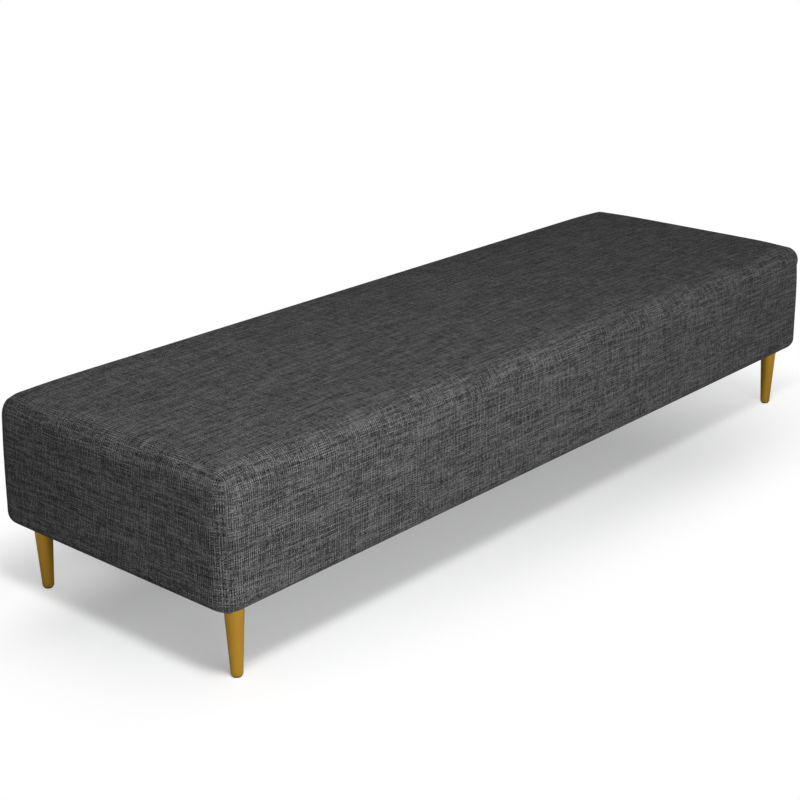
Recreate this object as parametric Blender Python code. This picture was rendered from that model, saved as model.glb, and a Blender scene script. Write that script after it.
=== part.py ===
"""Upholstered bench: a long padded box on four tapered round legs.

Metres, +Z up. The origin lies on the floor below the middle of the bench, X runs along its
length and the front faces -Y. One fabric panel goes over the front, the seat and the back,
and an end panel is sewn into it along the middle of the rolled edges at each end. Inside,
a wooden box frame carries interlaced webbing, a cloth over it and the seat foam.
"""

import math

import bmesh
import bpy
import numpy as np

# Upholstered body, measured on the outside of the fabric
BENCH_LENGTH = 2.032
BENCH_DEPTH = 0.6604
BODY_HEIGHT = 0.273
SEAT_CROWN = 0.005
CORNER_ROLL = 0.046
SHOULDER_DROP = 0.0515
BOTTOM_ROLL = 0.021
SIDE_LEAN = 0.010
SEAM_TURN = math.radians(42)
SEAM_CORNER_DIP = math.radians(12)
HEM_CORNER = 0.005

# Fabric, cloths and foam
FABRIC = 0.0012
DUST_SHEET = 0.0008
DUST_SETBACK = 0.008
SPRING_CLOTH = 0.001
CLOTH_SETBACK = 0.003
FOAM_HEIGHT = 0.085

# Frame
FRAME_SETBACK = 0.0015
RAIL_THICKNESS = 0.018
STRETCHER_THICKNESS = 0.020
STRETCHER_HEIGHT = 0.090
STRETCHER_COUNT = 3
BLOCK_LENGTH = 0.115
BLOCK_DEPTH = 0.095
BLOCK_HEIGHT = 0.027
BRACE_REACH = 0.100
BRACE_THICKNESS = 0.022
BRACE_HEIGHT = 0.060
EASED_EDGE = 0.0015

# Webbing
STRAP_WIDTH = 0.050
STRAP_THICKNESS = 0.002
STRAP_SETBACK = 0.004
STRAP_MARGIN = 0.006
CROSS_STRAPS = 13
LONG_STRAPS = 3

# Legs and their fittings
LEG_HEIGHT = 0.1524
LEG_TOP_RADIUS = 0.0198
LEG_FOOT_RADIUS = 0.0116
LEG_EDGE = 0.0012
LEG_SIDE_CLEARANCE = 0.0014
LEG_END_CLEARANCE = 0.0142
BOLT_RADIUS = 0.004
BOLT_IN_LEG = 0.025
BOLT_STAND = 0.002
BOLT_TIP = 0.001
TEE_WALL = 0.0015
TEE_FLANGE = 0.004
TEE_PLATE = 0.0012
TEE_BARREL = 0.009
GLIDE_RADIUS = 0.009
GLIDE_HEIGHT = 0.003
GLIDE_EDGE = 0.001
PIN_RADIUS = 0.0015
PIN_LENGTH = 0.010

# Clearance between pieces that touch, and round a bolt in cloth
GAP = 0.0003
CLOTH_HOLE_CLEARANCE = 0.001

# Creases of a soft piece that stay sharp, in degrees
SHARP_ANGLE = 40

# Facets: a quarter turn of a roll, stretches of the seat and sides, a full turn of a leg
ROLL_STEPS = 6
SEAM_STEPS = 3
BOTTOM_STEPS = 4
SIDE_STEPS = 2
SEAT_LENGTH_STEPS = 8
SEAT_DEPTH_STEPS = 6
STRAP_RAMP_STEPS = 3
TURN_STEPS = 24
HOLE_STEPS = 16

QUARTER = math.pi / 2
HALF_LENGTH = BENCH_LENGTH / 2
HALF_DEPTH = BENCH_DEPTH / 2

# Levels, from the floor up
DUST_BOTTOM = LEG_HEIGHT + GAP
BODY_BOTTOM = DUST_BOTTOM + DUST_SHEET + GAP
SEAT_LEVEL = BODY_BOTTOM + BODY_HEIGHT
SHOULDER_LEVEL = SEAT_LEVEL - SHOULDER_DROP
PADDING_INSET = FABRIC + GAP
FRAME_BOTTOM = BODY_BOTTOM + PADDING_INSET
FOAM_BOTTOM = SEAT_LEVEL - PADDING_INSET - FOAM_HEIGHT
CLOTH_BOTTOM = FOAM_BOTTOM - GAP - SPRING_CLOTH
STRAP_RISE = (STRAP_THICKNESS + GAP) / 2
STRAP_LEVEL = CLOTH_BOTTOM - GAP - STRAP_THICKNESS / 2 - STRAP_RISE
RAIL_TOP = STRAP_LEVEL - STRAP_THICKNESS / 2 - GAP
RAIL_HEIGHT = RAIL_TOP - FRAME_BOTTOM

# The frame in plan: outer faces, then the rails' inner faces
FRAME_INSET = BOTTOM_ROLL + FRAME_SETBACK
FRAME_X = HALF_LENGTH - FRAME_INSET
FRAME_Y = HALF_DEPTH - FRAME_INSET
INNER_X = FRAME_X - RAIL_THICKNESS
INNER_Y = FRAME_Y - RAIL_THICKNESS
FRAME_ROLL = CORNER_ROLL - FRAME_INSET

# The legs' axes, beside the rails by the reach of the tee nuts
TEE_BORE = BOLT_RADIUS + GAP
TEE_RADIUS = TEE_BORE + TEE_WALL
TEE_REACH = TEE_RADIUS + TEE_FLANGE
LEG_X = INNER_X - TEE_REACH - LEG_END_CLEARANCE
LEG_Y = INNER_Y - TEE_REACH - LEG_SIDE_CLEARANCE
BLOCK_TOP = FRAME_BOTTOM + BLOCK_HEIGHT

ENDS = {"left": -1, "right": 1}
SIDES = {"front": -1, "back": 1}
CORNERS = {f"{side}_{end}": (ENDS[end], SIDES[side]) for side in SIDES for end in ENDS}


def clear_scene():
    for old in list(bpy.data.objects):
        bpy.data.objects.remove(old, do_unlink=True)


def material(name, colour, roughness, metallic=0.0):
    made = bpy.data.materials.new(name)
    made.use_nodes = True
    shader = made.node_tree.nodes["Principled BSDF"]
    shader.inputs["Base Color"].default_value = (*colour, 1.0)
    shader.inputs["Roughness"].default_value = roughness
    shader.inputs["Metallic"].default_value = metallic
    made.diffuse_color = (*colour, 1.0)
    return made


def add_object(name, mesh, finish=None, parent=None, location=(0.0, 0.0, 0.0)):
    """One named object with its finish, placed by its location under its parent."""
    piece = bpy.data.objects.new(name, mesh)
    bpy.context.scene.collection.objects.link(piece)
    piece.location = location
    piece.parent = parent
    if finish:
        mesh.materials.clear()
        mesh.materials.append(finish)
    return piece


def add_group(name):
    return add_object(name, None)


def as_cutter(piece):
    piece.hide_render = True
    piece.display_type = "WIRE"
    return piece


def add_boolean(piece, cutter, operation):
    step = piece.modifiers.new(f"{operation.lower()}_{cutter.name}", "BOOLEAN")
    step.operation = operation
    step.solver = "EXACT"
    step.object = cutter


def box_mesh(name, size):
    """A box centred on its own origin."""
    mesh = bpy.data.meshes.new(name)
    form = bmesh.new()
    bmesh.ops.create_cube(form, size=1.0)
    bmesh.ops.scale(form, vec=size, verts=form.verts)
    form.to_mesh(mesh)
    form.free()
    return mesh


def ease_edges(board):
    easing = board.modifiers.new("eased_edges", "BEVEL")
    easing.width = EASED_EDGE
    easing.segments = 1
    return board


def add_board(name, size, centre, finish, parent):
    """A sawn board with eased edges."""
    return ease_edges(add_object(name, box_mesh(name, size), finish, parent, centre))


def add_extruded(name, outline, to_points, rise, finish, parent, location=(0.0, 0.0, 0.0)):
    """A flat outline, laid out in space by to_points, and pushed along the vector rise."""
    mesh = bpy.data.meshes.new(name)
    form = bmesh.new()
    face = form.faces.new([form.verts.new(point) for point in to_points(outline)])
    pushed = bmesh.ops.extrude_face_region(form, geom=[face])["geom"]
    moved = [item for item in pushed if isinstance(item, bmesh.types.BMVert)]
    bmesh.ops.translate(form, vec=rise, verts=moved)
    bmesh.ops.recalc_face_normals(form, faces=form.faces)
    form.to_mesh(mesh)
    form.free()
    return add_object(name, mesh, finish, parent, location)


def add_turned(name, profile, finish, parent, location):
    """A round piece: its profile of (radius, height) turned about the upright axis."""
    mesh = bpy.data.meshes.new(name)
    points = [(radius, 0.0, height) for radius, height in profile]
    mesh.from_pydata(points, [(i, i + 1) for i in range(len(points) - 1)], [])
    piece = add_object(name, mesh, finish, parent, location)
    turning = piece.modifiers.new("turning", "SCREW")
    turning.steps = TURN_STEPS
    turning.render_steps = TURN_STEPS
    turning.use_smooth_shade = True
    turning.use_merge_vertices = True
    turning.merge_threshold = 1e-5
    return piece


def welded(points, faces):
    """Which points to keep where some coincide, and the faces on the points kept.

    A face loses the points that it then repeats, and goes if fewer than three are left.
    """
    _, first, index = np.unique(np.round(points, 7), axis=0, return_index=True, return_inverse=True)
    index = index.reshape(-1)
    kept = []
    for face in faces:
        ring = [int(index[corner]) for corner in face]
        ring = [here for here, before in zip(ring, ring[-1:] + ring[:-1]) if here != before]
        if len(ring) > 2:
            kept.append(ring)
    return first, kept


def turned_round(face):
    """The face seen from behind, still starting at its first corner."""
    return face[:1] + face[:0:-1]


def grid_faces(rows, columns, start=0, flip=False):
    """Quads of a grid of points stored row by row, facing first-index cross second-index."""
    faces = []
    for i in range(rows - 1):
        for j in range(columns - 1):
            low = start + i * columns + j
            high = low + columns
            quad = [low, high, high + 1, low + 1]
            faces.append(turned_round(quad) if flip else quad)
    return faces


def skin_section(depth, first_level=None):
    """Half section of the padded body, a fabric depth in from its outside.

    Each station is (core y, core z, reach out, reach up, reach along): the roll's core and how
    far the surface stands from it sideways, upwards and towards an end. Stations run from the
    hem, or from first_level, up the front, and over the roll to the edge of the seat.
    """
    core_y = HALF_DEPTH - CORNER_ROLL
    roll = CORNER_ROLL - depth
    stations = []
    if first_level is None:
        stations.append((-core_y, BODY_BOTTOM + depth, HEM_CORNER, 0.0, HEM_CORNER))
        centre = BODY_BOTTOM + BOTTOM_ROLL
        radius = BOTTOM_ROLL - depth
        for turn in np.linspace(0.0, QUARTER, BOTTOM_STEPS + 1):
            reach = CORNER_ROLL - BOTTOM_ROLL + radius * math.sin(turn)
            stations.append((-core_y, centre - radius * math.cos(turn), reach, 0.0, reach))
        first_level = centre
    else:
        stations.append((-core_y, first_level, roll, 0.0, roll))
    for level in np.linspace(first_level, SHOULDER_LEVEL, SIDE_STEPS + 1)[1:]:
        stations.append((-core_y, level, roll, 0.0, roll))
    drop = SHOULDER_DROP - depth
    for turn in np.linspace(0.0, QUARTER, ROLL_STEPS + 1)[1:]:
        out = roll * math.cos(turn)
        stations.append((-core_y, SHOULDER_LEVEL, out, drop * math.sin(turn), roll))
    return np.array(stations)


def whole_section(depth, first_level=None):
    """The half section, the seat and the mirrored half section, with each station's side."""
    half = skin_section(depth, first_level)
    seat = np.repeat(half[-1:], SEAT_DEPTH_STEPS - 1, axis=0)
    seat[:, 0] = np.linspace(half[-1, 0], -half[-1, 0], SEAT_DEPTH_STEPS + 1)[1:-1]
    back = half[::-1].copy()
    back[:, 0] *= -1
    side = np.concatenate([-np.ones(len(half)), np.zeros(len(seat)), np.ones(len(half))])
    return np.concatenate([half, seat, back]), side, len(half)


def crown_at(x, y):
    """Rise of the seat over its flat edge, level with it along the rolled edges."""
    across = np.clip(np.abs(y) / (HALF_DEPTH - CORNER_ROLL), 0.0, 1.0)
    along = np.clip(np.abs(x) / (HALF_LENGTH - CORNER_ROLL), 0.0, 1.0)
    return SEAT_CROWN * (1 - along**4) ** 2 * (1 - across**2) ** 2


def leaned(points):
    """The sides leaning in towards the top."""
    up = SIDE_LEAN * (points[:, 2] - BODY_BOTTOM)
    scale = np.column_stack([1 - up / HALF_LENGTH, 1 - up / HALF_DEPTH, np.ones(len(points))])
    return points * scale


def seam_turns(section, depth):
    """How far round towards the end each station meets the seam: less over the top corners."""
    risen = section[:, 3] / (SHOULDER_DROP - depth)
    return SEAM_TURN - SEAM_CORNER_DIP * 4 * risen**2 * (1 - risen**2)


def skin_rows(core_x, places, depth, first_level=None):
    """Points of the body's skin: one row for each place along it, one column per station.

    A row stands at core_x. Its place is 0 on the straight, 1 on the seam and 2 on the flat of
    the right end, and negative towards the left one. It sets the angle that the row has turned
    towards the end: it goes along by the reach times the sine of that angle, and its sideways
    and upward reach shrink by the cosine.
    """
    section, side, _ = whole_section(depth, first_level)
    core_x, places = np.asarray(core_x)[:, None], np.asarray(places)[:, None]
    seam = seam_turns(section, depth)
    share = np.abs(places)
    turns = np.minimum(share, 1) * seam + np.maximum(share - 1, 0) * (QUARTER - seam)
    x = core_x + section[:, 4] * np.sin(turns) * np.sign(places)
    y = section[:, 0] + side * section[:, 2] * np.cos(turns)
    z = section[:, 1] + section[:, 3] * np.cos(turns)
    z = z + crown_at(x, y) * section[:, 3] * np.cos(turns) / (SHOULDER_DROP - depth)
    return leaned(np.column_stack([x.ravel(), y.ravel(), z.ravel()]))


def end_places(first, last):
    """Places from first to last between the straight, 0, and the flat of an end, 2."""
    steps = np.arange(2 * SEAM_STEPS + 1) / SEAM_STEPS
    margin = GAP / CORNER_ROLL
    return [first, *steps[(steps > first + margin) & (steps < last - margin)].tolist(), last]


def shell_faces(faces, count):
    """The outer faces, the same faces turned round count points on, and a rim between them."""
    edges = {(face[i - 1], face[i]) for face in faces for i in range(len(face))}
    inner = [[corner + count for corner in turned_round(face)] for face in faces]
    rim = [[b, a, a + count, b + count] for a, b in sorted(edges) if (b, a) not in edges]
    return faces + inner + rim


def add_soft_form(name, points, faces, finish, parent):
    """A soft piece whose quads all split along the diagonal from their first corner.

    Layers that lie on each other then keep the same distance everywhere.
    """
    mesh = bpy.data.meshes.new(name)
    mesh.from_pydata(points.tolist(), [], faces)
    mesh.shade_smooth()
    mesh.set_sharp_from_angle(angle=math.radians(SHARP_ANGLE))
    piece = add_object(name, mesh, finish, parent)
    split = piece.modifiers.new("even_diagonals", "TRIANGULATE")
    split.quad_method = "FIXED"


def add_panel(name, points_at, faces, finish, parent):
    """A fabric panel between its outside and the same surface a fabric's thickness in."""
    outer = points_at(0.0)
    first, faces = welded(outer, faces)
    points = np.concatenate([outer[first], points_at(FABRIC)[first]])
    add_soft_form(name, points, shell_faces(faces, len(first)), finish, parent)


def length_rows(last):
    """Places along the body: round one end up to last, straight on, and round the other."""
    round_end = end_places(0.0, last)
    core = HALF_LENGTH - CORNER_ROLL
    straight = np.linspace(-core, core, SEAT_LENGTH_STEPS + 1)[1:-1]
    core_x = [-core] * len(round_end) + [*straight] + [core] * len(round_end)
    return core_x, [-place for place in round_end[::-1]] + [0.0] * len(straight) + round_end


def build_main_cover(finish, parent):
    """The panel over front, seat and back, up to the seam at each end."""
    core_x, places = length_rows(1.0 - GAP / 2 / CORNER_ROLL / SEAM_TURN)
    columns = len(whole_section(0.0)[0])
    faces = grid_faces(len(core_x), columns)
    add_panel("cover_main", lambda depth: skin_rows(core_x, places, depth), faces, finish, parent)


def end_points(places, depth):
    """An end panel's rolled border row by row, then its flat with the bottom roll and hem."""
    direction = np.sign(places[0])
    core = direction * (HALF_LENGTH - CORNER_ROLL)
    border = skin_rows([core] * len(places), places, depth)
    section, _, half = whole_section(depth)
    rising = section[: half - ROLL_STEPS]
    across = section[half - 1 : len(section) - half + 1, 0]
    level, y = np.meshgrid(np.arange(len(rising)), across, indexing="ij")
    level = level.ravel()
    flat = np.column_stack([core + direction * rising[level, 4], y.ravel(), rising[level, 1]])
    return np.concatenate([border, leaned(flat)]), len(flat)


def build_end_cover(end, direction, finish, parent):
    """An end panel: rolled border from the seam to the flat, then the flat with its hem."""
    places = end_places(1.0 + GAP / 2 / CORNER_ROLL / (QUARTER - SEAM_TURN), 2.0)
    if direction < 0:
        places = [-place for place in places[::-1]]
    points, flat_count = end_points(places, 0.0)
    border_count = len(points) - flat_count
    across = SEAT_DEPTH_STEPS + 1
    faces = grid_faces(len(places), border_count // len(places))
    faces += grid_faces(flat_count // across, across, border_count, flip=direction > 0)
    add_panel(
        f"cover_end_{end}", lambda depth: end_points(places, depth)[0], faces, finish, parent
    )


def build_seat_foam(finish, parent):
    """The crowned seat foam, rolled over at its top edges, flat underneath."""
    core_x, places = length_rows(2.0)
    points = skin_rows(core_x, places, PADDING_INSET, FOAM_BOTTOM)
    rows, columns = len(core_x), len(points) // len(core_x)
    first = list(range(columns))
    last = list(range((rows - 1) * columns, rows * columns))
    front = [row * columns for row in range(rows)]
    back = [row * columns + columns - 1 for row in range(rows)]
    faces = grid_faces(rows, columns) + [first, last[::-1], front[::-1] + back]
    kept, faces = welded(points, faces)
    add_soft_form("seat_foam", points[kept], faces, finish, parent)


def padding_mesh():
    """The outer shape of the side padding, filled: rings stacked from the hem to the foam."""
    half = skin_section(PADDING_INSET, FOAM_BOTTOM)
    below = skin_section(PADDING_INSET)[1 : BOTTOM_STEPS + 2]
    levels = [*below[:, 1], FOAM_BOTTOM - GAP]
    reaches = [*below[:, 2], half[0, 2]]
    quarter = [*np.linspace(0.0, SEAM_TURN, SEAM_STEPS + 1)]
    quarter += [*np.linspace(SEAM_TURN, QUARTER, SEAM_STEPS + 1)[1:]]
    turns = np.array(quarter + quarter[::-1])
    across = np.concatenate([np.ones(len(quarter)), -np.ones(len(quarter))])
    x_core, y_core = HALF_LENGTH - CORNER_ROLL, HALF_DEPTH - CORNER_ROLL
    rings = []
    for level, reach in zip(levels, reaches):
        x = x_core + reach * np.sin(turns)
        y = across * (y_core + reach * np.cos(turns))
        ring_x, ring_y = np.concatenate([x, -x]), np.concatenate([y, -y])
        rings.append(np.column_stack([ring_x, ring_y, np.full(len(ring_x), level)]))
    points = leaned(np.concatenate(rings))
    mesh = bpy.data.meshes.new("padding_outline")
    form = bmesh.new()
    verts = [form.verts.new(point) for point in points]
    count = len(rings[0])
    for low in range(0, count * (len(rings) - 1), count):
        for here in range(count):
            there = (here + 1) % count
            corners = (low + here, low + there, low + count + there, low + count + here)
            form.faces.new([verts[corner] for corner in corners])
    form.faces.new(verts[:count])
    form.faces.new(verts[-count:])
    bmesh.ops.recalc_face_normals(form, faces=form.faces)
    form.to_mesh(mesh)
    form.free()
    return mesh


def build_side_padding(finish, parent, cutters):
    """Four foam pads round the frame: the long ones take the corners' outer half."""
    outline = padding_mesh()
    beyond = BENCH_DEPTH
    inner_x, inner_y = FRAME_X + GAP, FRAME_Y + GAP
    slabs = {}
    for side, direction in SIDES.items():
        slabs[side] = ((BENCH_LENGTH + beyond, beyond), (0.0, direction * (inner_y + beyond / 2)))
    for end, direction in ENDS.items():
        slabs[end] = ((beyond, 2 * (inner_y - GAP)), (direction * (inner_x + beyond / 2), 0.0))
    for place, ((length, depth), (x, y)) in slabs.items():
        size = (length, depth, 2 * SEAT_LEVEL)
        slab = add_object(f"{place}_pad_slab", box_mesh(f"{place}_pad_slab", size), None, cutters)
        slab.location = (x, y, SEAT_LEVEL)
        pad = add_object(f"side_pad_{place}", outline.copy(), finish, parent)
        add_boolean(pad, as_cutter(slab), "INTERSECT")
    bpy.data.meshes.remove(outline)


def rounded_rectangle(half_x, half_y, radius):
    """Corner arcs of a rounded rectangle, anticlockwise, as (x, y)."""
    turns = np.linspace(0.0, QUARTER, ROLL_STEPS + 1)
    outline = []
    for quarter, (sx, sy) in enumerate([(1, 1), (-1, 1), (-1, -1), (1, -1)]):
        arc_x, arc_y = sx * (half_x - radius), sy * (half_y - radius)
        for turn in turns + quarter * QUARTER:
            outline.append((arc_x + radius * math.cos(turn), arc_y + radius * math.sin(turn)))
    return outline


def build_dust_cover(finish, parent, cutters):
    """The sheet that closes the underside over the hems, with a hole for each leg's bolt."""
    inset = BOTTOM_ROLL + DUST_SETBACK
    outline = rounded_rectangle(HALF_LENGTH - inset, HALF_DEPTH - inset, CORNER_ROLL - inset)
    sheet = add_extruded(
        "dust_cover",
        outline,
        lambda points: [(x, y, DUST_BOTTOM) for x, y in points],
        (0.0, 0.0, DUST_SHEET),
        finish,
        parent,
    )
    for corner, (end, side) in CORNERS.items():
        hole = add_punch(f"dust_hole_{corner}", BOLT_RADIUS + CLOTH_HOLE_CLEARANCE, cutters)
        hole.location = (end * LEG_X, side * LEG_Y, DUST_BOTTOM)
        add_boolean(sheet, hole, "DIFFERENCE")


def build_spring_cloth(finish, parent):
    """The woven cloth that lies on the webbing, under the foam."""
    size = (2 * (FRAME_X - CLOTH_SETBACK), 2 * (FRAME_Y - CLOTH_SETBACK), SPRING_CLOTH)
    centre = (0.0, 0.0, CLOTH_BOTTOM + SPRING_CLOTH / 2)
    add_object("spring_cloth", box_mesh("spring_cloth", size), finish, parent, centre)


def add_punch(name, radius, cutters):
    """A round cutter, longer than any board or sheet it goes through."""
    mesh = bpy.data.meshes.new(name)
    form = bmesh.new()
    bmesh.ops.create_cone(
        form, cap_ends=True, segments=HOLE_STEPS, radius1=radius, radius2=radius, depth=4 * BLOCK_HEIGHT
    )
    form.to_mesh(mesh)
    form.free()
    return as_cutter(add_object(name, mesh, None, cutters))


def long_rail_outline(direction):
    """A long rail in plan: its outer corners follow the body's corners."""
    last = math.asin(max(0.0, 1 - RAIL_THICKNESS / FRAME_ROLL))
    arc_x, arc_y = FRAME_X - FRAME_ROLL, FRAME_Y - FRAME_ROLL
    half = []
    for turn in np.linspace(QUARTER, last, ROLL_STEPS + 1):
        half.append((arc_x + FRAME_ROLL * math.cos(turn), arc_y + FRAME_ROLL * math.sin(turn)))
    if FRAME_ROLL < RAIL_THICKNESS:
        half.append((FRAME_X, INNER_Y))
    return [(x, direction * y) for x, y in half] + [(-x, direction * y) for x, y in half[::-1]]


def build_rails(finish, parent):
    """The box frame: long rails outside, end rails between them."""
    for side, direction in SIDES.items():
        rail = add_extruded(
            f"rail_{side}",
            long_rail_outline(direction),
            lambda outline: [(x, y, FRAME_BOTTOM) for x, y in outline],
            (0.0, 0.0, RAIL_HEIGHT),
            finish,
            parent,
        )
        ease_edges(rail)
    for end, direction in ENDS.items():
        size = (RAIL_THICKNESS, 2 * (INNER_Y - GAP), RAIL_HEIGHT)
        centre = (direction * (FRAME_X - RAIL_THICKNESS / 2), 0.0, FRAME_BOTTOM + RAIL_HEIGHT / 2)
        add_board(f"rail_{end}", size, centre, finish, parent)


def build_stretchers(finish, parent):
    """Boards on edge between the long rails, low enough for the webbing to give."""
    spacing = 2 * INNER_X / (STRETCHER_COUNT + 1)
    size = (STRETCHER_THICKNESS, 2 * (INNER_Y - GAP), STRETCHER_HEIGHT)
    for number in range(STRETCHER_COUNT):
        x = -INNER_X + spacing * (number + 1)
        centre = (x, 0.0, FRAME_BOTTOM + STRETCHER_HEIGHT / 2)
        add_board(f"stretcher_{number + 1}", size, centre, finish, parent)


def build_leg_blocks(finish, parent, cutters):
    """A block in each bottom corner of the frame, bored for the leg's tee nut."""
    size = (BLOCK_LENGTH, BLOCK_DEPTH, BLOCK_HEIGHT)
    for corner, (end, side) in CORNERS.items():
        x = end * (INNER_X - GAP - BLOCK_LENGTH / 2)
        y = side * (INNER_Y - GAP - BLOCK_DEPTH / 2)
        block = add_board(
            f"leg_block_{corner}", size, (x, y, FRAME_BOTTOM + BLOCK_HEIGHT / 2), finish, parent
        )
        bore = add_punch(f"block_bore_{corner}", TEE_RADIUS + GAP, cutters)
        bore.location = (end * LEG_X, side * LEG_Y, FRAME_BOTTOM)
        add_boolean(block, bore, "DIFFERENCE")


def build_corner_braces(finish, parent):
    """A mitred board across each corner of the frame, flush with the rails' top."""
    near, far = BRACE_REACH, BRACE_REACH + BRACE_THICKNESS * math.sqrt(2)
    for corner, (end, side) in CORNERS.items():
        x, y = INNER_X - GAP, INNER_Y - GAP
        outline = [(x - near, y), (x, y - near), (x, y - far), (x - far, y)]
        add_extruded(
            f"corner_brace_{corner}",
            outline,
            lambda points, end=end, side=side: [(end * px, side * py, 0.0) for px, py in points],
            (0.0, 0.0, BRACE_HEIGHT),
            finish,
            parent,
            (0.0, 0.0, RAIL_TOP - EASED_EDGE - BRACE_HEIGHT),
        )


def strap_wave(crossings, first_sign, rail_edge, end):
    """Middle line of a strap as (along, height): level on the rails, over or under each
    strap it meets, with an S-shaped ramp between."""
    half = STRAP_WIDTH / 2 + STRAP_MARGIN
    flats = [(-end, -rail_edge, 0.0)]
    for number, place in enumerate(crossings):
        flats.append((place - half, place + half, STRAP_RISE * first_sign * (-1) ** number))
    flats.append((rail_edge, end, 0.0))
    line = []
    for (start, stop, level), following in zip(flats, flats[1:] + [None]):
        line += [(start, level), (stop, level)]
        if following is None:
            break
        for share in np.linspace(0.0, 1.0, STRAP_RAMP_STEPS + 1)[1:-1]:
            ease = share * share * (3 - 2 * share)
            line.append(
                (stop + (following[0] - stop) * share, level + (following[2] - level) * ease)
            )
    return line


def strap_outline(line):
    """The middle line given its thickness: along the top and back along the underside."""
    half = STRAP_THICKNESS / 2
    return [(s, z + half) for s, z in line] + [(s, z - half) for s, z in line[::-1]]


def build_webbing(finish, parent):
    """Straps stapled to the rails' top, woven over and under each other."""
    cross_pitch = 2 * INNER_X / CROSS_STRAPS
    long_pitch = 2 * INNER_Y / LONG_STRAPS
    cross_x = [-INNER_X + cross_pitch * (i + 0.5) for i in range(CROSS_STRAPS)]
    long_y = [-INNER_Y + long_pitch * (i + 0.5) for i in range(LONG_STRAPS)]
    for number, x in enumerate(cross_x):
        line = strap_wave(long_y, (-1) ** number, INNER_Y, FRAME_Y - STRAP_SETBACK)
        add_extruded(
            f"cross_strap_{number + 1:02d}",
            strap_outline(line),
            lambda outline: [(-STRAP_WIDTH / 2, s, z) for s, z in outline],
            (STRAP_WIDTH, 0.0, 0.0),
            finish,
            parent,
            (x, 0.0, STRAP_LEVEL),
        )
    for number, y in enumerate(long_y):
        line = strap_wave(cross_x, -((-1) ** number), INNER_X, FRAME_X - STRAP_SETBACK)
        add_extruded(
            f"long_strap_{number + 1}",
            strap_outline(line),
            lambda outline: [(s, -STRAP_WIDTH / 2, z) for s, z in outline],
            (0.0, STRAP_WIDTH, 0.0),
            finish,
            parent,
            (0.0, y, STRAP_LEVEL),
        )


def leg_profile():
    """Down from the bolt's bore, over the top, down the tapered side, into the pin's hole."""
    foot = GLIDE_HEIGHT + GAP
    return [
        (0.0, LEG_HEIGHT - BOLT_IN_LEG - GAP),
        (BOLT_RADIUS + GAP, LEG_HEIGHT - BOLT_IN_LEG - GAP),
        (BOLT_RADIUS + GAP, LEG_HEIGHT),
        (LEG_TOP_RADIUS, LEG_HEIGHT),
        (LEG_FOOT_RADIUS, foot + LEG_EDGE),
        (LEG_FOOT_RADIUS - LEG_EDGE, foot),
        (PIN_RADIUS + GAP, foot),
        (PIN_RADIUS + GAP, GLIDE_HEIGHT + PIN_LENGTH + GAP),
        (0.0, GLIDE_HEIGHT + PIN_LENGTH + GAP),
    ]


def glide_profile():
    return [
        (0.0, GLIDE_HEIGHT + PIN_LENGTH),
        (PIN_RADIUS, GLIDE_HEIGHT + PIN_LENGTH),
        (PIN_RADIUS, GLIDE_HEIGHT),
        (GLIDE_RADIUS, GLIDE_HEIGHT),
        (GLIDE_RADIUS, GLIDE_EDGE),
        (GLIDE_RADIUS - GLIDE_EDGE, 0.0),
        (0.0, 0.0),
    ]


def bolt_profile():
    top = BLOCK_TOP + GAP + TEE_PLATE + BOLT_STAND
    bottom = LEG_HEIGHT - BOLT_IN_LEG
    return [
        (0.0, top),
        (BOLT_RADIUS - BOLT_TIP, top),
        (BOLT_RADIUS, top - BOLT_TIP),
        (BOLT_RADIUS, bottom + BOLT_TIP),
        (BOLT_RADIUS - BOLT_TIP, bottom),
        (0.0, bottom),
    ]


def tee_nut_profile():
    """A closed ring: flange on the block's top, barrel down in its bore."""
    seat = BLOCK_TOP + GAP
    ring = [
        (TEE_BORE, seat + TEE_PLATE),
        (TEE_REACH, seat + TEE_PLATE),
        (TEE_REACH, seat),
        (TEE_RADIUS, seat),
        (TEE_RADIUS, seat - TEE_BARREL),
        (TEE_BORE, seat - TEE_BARREL),
    ]
    return ring + ring[:1]


def build_legs(finishes, parent):
    """Each corner's leg with its glide, hanger bolt and tee nut on one upright axis."""
    for corner, (end, side) in CORNERS.items():
        place = (end * LEG_X, side * LEG_Y, 0.0)
        add_turned(f"leg_{corner}", leg_profile(), finishes["leg"], parent, place)
        add_turned(f"glide_{corner}", glide_profile(), finishes["glide"], parent, place)
        add_turned(f"hanger_bolt_{corner}", bolt_profile(), finishes["steel"], parent, place)
        add_turned(f"tee_nut_{corner}", tee_nut_profile(), finishes["steel"], parent, place)


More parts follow.
